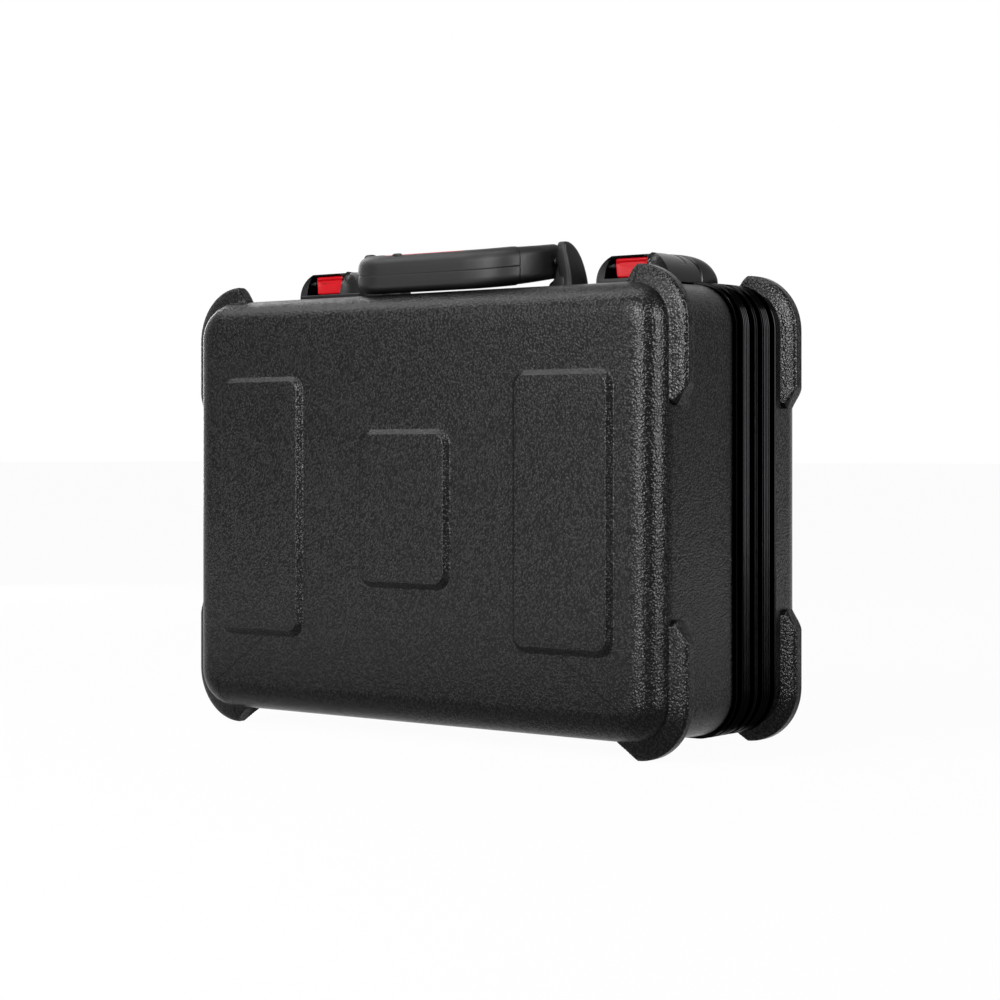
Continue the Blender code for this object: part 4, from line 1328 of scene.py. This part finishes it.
@dataclass(frozen=True)
class Foam:
    """The cut foam in both shells: a block with the module's pocket, and the lid's slab.

    Attributes:
        pocket_w: The pocket's width.
        pocket_h: The pocket's height.
        pocket_y: The pocket's floor.
        base_end: Where the base's foam ends.
        lid_start: Where the lid's foam starts.
        top: The height at which the base's foam ends.
        soft: The radius of its cut edges.
        pitch: The waves' pitch on the lid's slab.
    """

    pocket_w: float = 330.0
    pocket_h: float = 230.0
    pocket_y: float = 32.0
    base_end: float = 116.0
    lid_start: float = 155.0
    top: float = 163.8
    soft: float = 5.0
    pitch: float = 34.0

    def wobble(self, points: np.ndarray) -> np.ndarray:
        """A gentle unevenness of cut foam: three slow sine waves, at most 0.3 mm inward."""
        x, y, z = (points[..., k] for k in range(3))
        wave = np.sin(x / 17.0 + 1.3) * np.sin(z / 21.0) + np.sin(y / 13.0 + x / 29.0) + np.sin(z / 15.0 + 2.1)
        return 0.05 * (wave + 3.0)

    def sides(self, shell: Shell, wall: np.ndarray, edge: np.ndarray) -> tuple[np.ndarray, np.ndarray]:
        """The foam's sides, 0.6 mm off the shell's inside, and the soft edge where they end.

        Args:
            shell: The shell that the foam lies in.
            wall: The depths of the sides' rings.
            edge: The depths of the soft edge's rings.

        Returns:
            The sides' rings and the edge's rings.
        """
        drawn = self.soft * (1.0 - np.cos(self.turn()[1:]))
        return (Outline().rings(wall, shell.offset(wall - 0.4 * shell.ahead, shell.wall) - 0.6),
                Outline().rings(edge, shell.offset(wall[-1:], shell.wall) - 0.6 - drawn))

    def turn(self) -> np.ndarray:
        """The turns along a quarter-round edge."""
        return np.linspace(0.0, math.pi / 2, 6)

    def base(self) -> Skin:
        """The base's block: outer wall, soft rim, pocket walls and pocket floor as one grid of rings.

        Returns:
            The closed skin.
        """
        turn = self.turn()
        wall = np.concatenate([4.4 + 21.0 * (1.0 - np.cos(turn)), [50.0, 80.0, self.base_end - self.soft]])
        outer, rim = self.sides(Shell.of(Half.BASE), wall, wall[-1] + self.soft * np.sin(turn[1:]))
        pocket = Outline(self.pocket_w / 2, self.pocket_h / 2, 0.01, 40.0, 50.0, 100.0, 110.0)
        lip = pocket.rings(self.base_end - self.soft * (1 - np.cos(turn)), self.soft * (1 - np.sin(turn)) + 0.15)
        levels = np.array([90.0, 60.0, self.pocket_y + 0.5, self.pocket_y])
        walls = pocket.rings(levels, np.array([0.15, 0.15, 0.15, -0.4]))
        floor = scaled_rings(walls[-1], (0.8, 0.5, 0.1))
        bottom = scaled_rings(outer[0], (0.1, 0.5, 0.9))
        grid = np.concatenate([bottom, outer, rim, lip, walls, floor])
        grid[..., 2] = np.minimum(grid[..., 2], self.top)
        return Skin(grid)

    def lid(self) -> Skin:
        """The lid's slab: a block whose face towards the module is cut in waves.

        Each point of the face lies 2.2 mm times (1 - cos cos) behind its crest, with the pitch in x and z.

        Returns:
            The closed skin.
        """
        turn = self.turn()
        wall = np.concatenate([210.6 - 23.0 * (1.0 - np.cos(turn)), [175.0, self.lid_start + self.soft]])
        edge = self.lid_start + self.soft * (1.0 - np.sin(turn[1:]))
        outer, rim = self.sides(Shell.of(Half.LID), wall, edge)
        face = scaled_rings(rim[-1], tuple(np.linspace(0.985, 0.01, 56)))
        fade = np.linspace(0.0, 1.0, 56)[:, None]
        wave = 1.0 - np.cos(face[..., 0] * 2 * math.pi / self.pitch) * np.cos(face[..., 2] * 2 * math.pi / self.pitch)
        face[..., 1] += 2.2 * wave * ease(fade, 0.0, 0.12) + 0.1
        back = scaled_rings(outer[0], (0.1, 0.5, 0.9))
        return Skin(np.concatenate([back, outer, rim, face]))

    def build(self) -> None:
        for half, skin in ((Half.BASE, self.base()), (Half.LID, self.lid())):
            skin.points[..., 1] += self.wobble(skin.points) * (1.0 if half is Half.LID else -0.6)
            piece = add_piece(f"{half.value}_foam_block", [skin], FOAM, half.value, [f"{half.value}_foam"], 60.0)


# Fittings that keep their CAD shape


class Fittings:
    """Hinges, pins, rivets, screws, bolts, springs and hooks, which keep their CAD shape."""

    def dress(self) -> None:
        """Gives every steel CAD node its finish: inside the latches a darkened copy of the steel as painted shade for
        the bays, plated elsewhere.
        """
        steel, dark = STEEL.material(), SHADE_DARK_STEEL.material()
        slots = {part["node"]: part["material_slot"] for part in frame["record"]["subparts"]}
        for name, node in frame["nodes"].items():
            if slots.get(name) == STEEL.slot:
                node.data.materials.clear()
                # Latch steel other than the outer screws gets the darkened copy: painted shade, not a different metal.
                inside = name.startswith("latch") and not name.endswith(("screw_1", "screw_2"))
                node.data.materials.append(dark if inside else steel)
                LOG.info("%s dressed in %s", name, SHADE_DARK_STEEL.slot if inside else STEEL.slot)


# Studio


def soft_box(name: str, size: tuple[float, float], power: float, gloss_only: bool) -> bpy.types.Object:
    """Adds a rectangular area light that the camera doesn't see.

    Args:
        name: The light's name.
        size: Its width and its height.
        power: Its power in watts.
        gloss_only: Whether it shows in reflections alone.

    Returns:
        The light, still at the origin.
    """
    data = bpy.data.lights.new(name, "AREA")
    data.shape, data.energy = "RECTANGLE", power
    data.size, data.size_y = size
    lamp = linked(name, data)
    lamp.visible_camera, lamp.visible_diffuse = False, not gloss_only
    return lamp


@dataclass(frozen=True)
class Lamp:
    """A soft box that looks at the case.

    Attributes:
        name: The lamp's name.
        azimuth: Degrees from the front towards the right.
        height: Its height in metres.
        distance: How far it stands from the case.
        size: Its width and its height.
        power: Its power in watts.
        aim: The height that it looks at.
        gloss_only: Whether it shows in reflections alone, so that colours keep their plain level.
    """

    name: str
    azimuth: float
    height: float
    distance: float
    size: tuple[float, float]
    power: float
    aim: float = 0.2
    gloss_only: bool = False

    def build(self) -> None:
        """Adds the lamp."""
        lamp = soft_box(self.name, self.size, self.power, self.gloss_only)
        turn = math.radians(self.azimuth)
        lamp.location = (self.distance * math.sin(turn), -self.distance * math.cos(turn), self.height)
        tilt = math.atan2(self.height - self.aim, self.distance)
        lamp.rotation_euler = (math.pi / 2 - tilt, 0.0, turn)


@dataclass(frozen=True)
class Studio:
    """The camera, the lamps, the white surround and the pale floor.

    Attributes:
        lens: The focal length for a 36 mm sensor.
        place: Where the camera stands.
        azimuth: The camera's turn in degrees.
        shift: The vertical shift that frames the photo.
        ambient: How bright the surround is for diffuse light.
        floor_glow: The share of the floor's white that is its own glow.
    """

    lens: float = 83.34
    place: tuple[float, float, float] = (1.1983, -1.5169, 0.2324)
    azimuth: float = 38.0
    shift: float = -0.0481
    ambient: float = 0.09
    floor_glow: float = 0.965

    def camera(self) -> None:
        """Adds the camera and makes it the scene's."""
        data = bpy.data.cameras.new("camera")
        data.lens, data.sensor_width, data.sensor_height = self.lens, 36.0, 36.0
        data.shift_y, data.clip_end = self.shift, 200.0
        camera = linked("camera", data)
        camera.location = self.place
        camera.rotation_euler = (math.pi / 2, 0.0, math.radians(self.azimuth))
        bpy.context.scene.camera = camera

    def surround(self) -> None:
        """Makes the world: white to the camera and in reflections, dimmer as soft light."""
        world_data = bpy.data.worlds.new("surround")
        world_data.use_nodes = True
        bpy.context.scene.world = world_data
        graph = Graph(world_data.node_tree)
        level = graph.add("MapRange", Value=graph.seen("Is Transmission Ray"), To_Min=self.ambient, To_Max=1.0)
        back = world_data.node_tree.nodes["Background"]
        back.inputs["Color"].default_value = (1.0, 1.0, 1.0, 1.0)
        world_data.node_tree.links.new(level.outputs[0], back.inputs["Strength"])

    def floor(self, level: float) -> None:
        """Adds the floor, nearly all of whose white comes from its own glow to the camera.

        Args:
            level: The floor's height.
        """
        size = 40.0
        mesh = bpy.data.meshes.new("floor")
        mesh.from_pydata([(-size, -size, level), (size, -size, level), (size, size, level), (-size, size, level)],
                         [], [(0, 1, 2, 3)])
        mat = bpy.data.materials.new("pale_floor")
        mat.use_nodes = True
        tree = mat.node_tree
        graph = Graph(tree)
        shader = tree.nodes["Principled BSDF"]
        shader.inputs["Base Color"].default_value = (0.97, 0.97, 0.97, 1.0)
        shader.inputs["Roughness"].default_value = 0.9
        shader.inputs["Specular IOR Level"].default_value = 0.1
        glow = graph.add("Emission", Color=(1.0, 1.0, 1.0, 1.0), Strength=1.0)
        mixed = graph.add("MixShader", _0=graph.math("MULTIPLY", graph.seen(), self.floor_glow))
        tree.links.new(shader.outputs[0], mixed.inputs[1])
        tree.links.new(glow.outputs[0], mixed.inputs[2])
        tree.links.new(mixed.outputs[0], tree.nodes["Material Output"].inputs["Surface"])
        mesh.materials.append(mat)
        linked("floor", mesh)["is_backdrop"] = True

    def card(self, name: str, place: tuple[float, float, float], size: tuple[float, float], power: float) -> None:
        """Adds a light that lies on the floor, faces up and shows only in the case's gloss.

        Args:
            name: The card's name.
            place: Its middle.
            size: Its width and its depth.
            power: Its power in watts.
        """
        card = soft_box(name, size, power, gloss_only=True)
        card.location = place
        card.rotation_euler = (math.pi, 0.0, 0.0)

    def build(self, level: float) -> None:
        """Adds the whole studio.

        Args:
            level: The floor's height.
        """
        bpy.context.scene.view_settings.view_transform = "Standard"
        self.camera()
        self.surround()
        self.floor(level)
        for lamp in (
            Lamp("key_wide", -16.0, 1.1, 2.1, (1.3, 1.3), 58.0),
            Lamp("key_strip", 19.0, 1.0, 2.15, (0.42, 1.9), 165.0, gloss_only=True),
            Lamp("strip_right", 77.5, 0.95, 2.3, (0.5, 2.0), 140.0, gloss_only=True),
            Lamp("fill_right", 80.0, 1.0, 2.3, (0.8, 0.8), 12.0),
            Lamp("overhead", 0.0, 2.2, 0.5, (1.2, 1.0), 40.0, gloss_only=True),
            Lamp("top_left", -66.0, 1.9, 1.25, (1.1, 0.9), 22.0, gloss_only=True),
            Lamp("front_left", -29.0, 0.6, 2.0, (0.7, 1.2), 6.0, gloss_only=True),
            Lamp("rim_left", -118.0, 0.9, 2.0, (0.3, 1.6), 7.0),
        ):
            lamp.build()
        self.card("card_front", (-0.45, -0.95, level + 0.004), (1.7, 1.2), 24.0)
        self.card("card_right", (0.95, 0.7, level + 0.004), (0.9, 0.9), 6.0)


def plain(box: object) -> list[list[float]]:
    """A box's two corners as plain lists of numbers."""
    low, high = box
    return [[float(v) for v in low], [float(v) for v in high]]


def main() -> None:
    """Builds every sub-assembly in order."""
    logging.basicConfig(level=logging.INFO, format="%(message)s")
    before = plain(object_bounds())
    Studio().build(before[0][2])
    for half in Half:
        Shell.of(half).build()
    for half in Half:
        Rail(half).build()
    Handle().build()
    for side in Side:
        Latch(side).build()
    Foam().build()
    Fittings().dress()


if __name__ == "__main__":
    main()
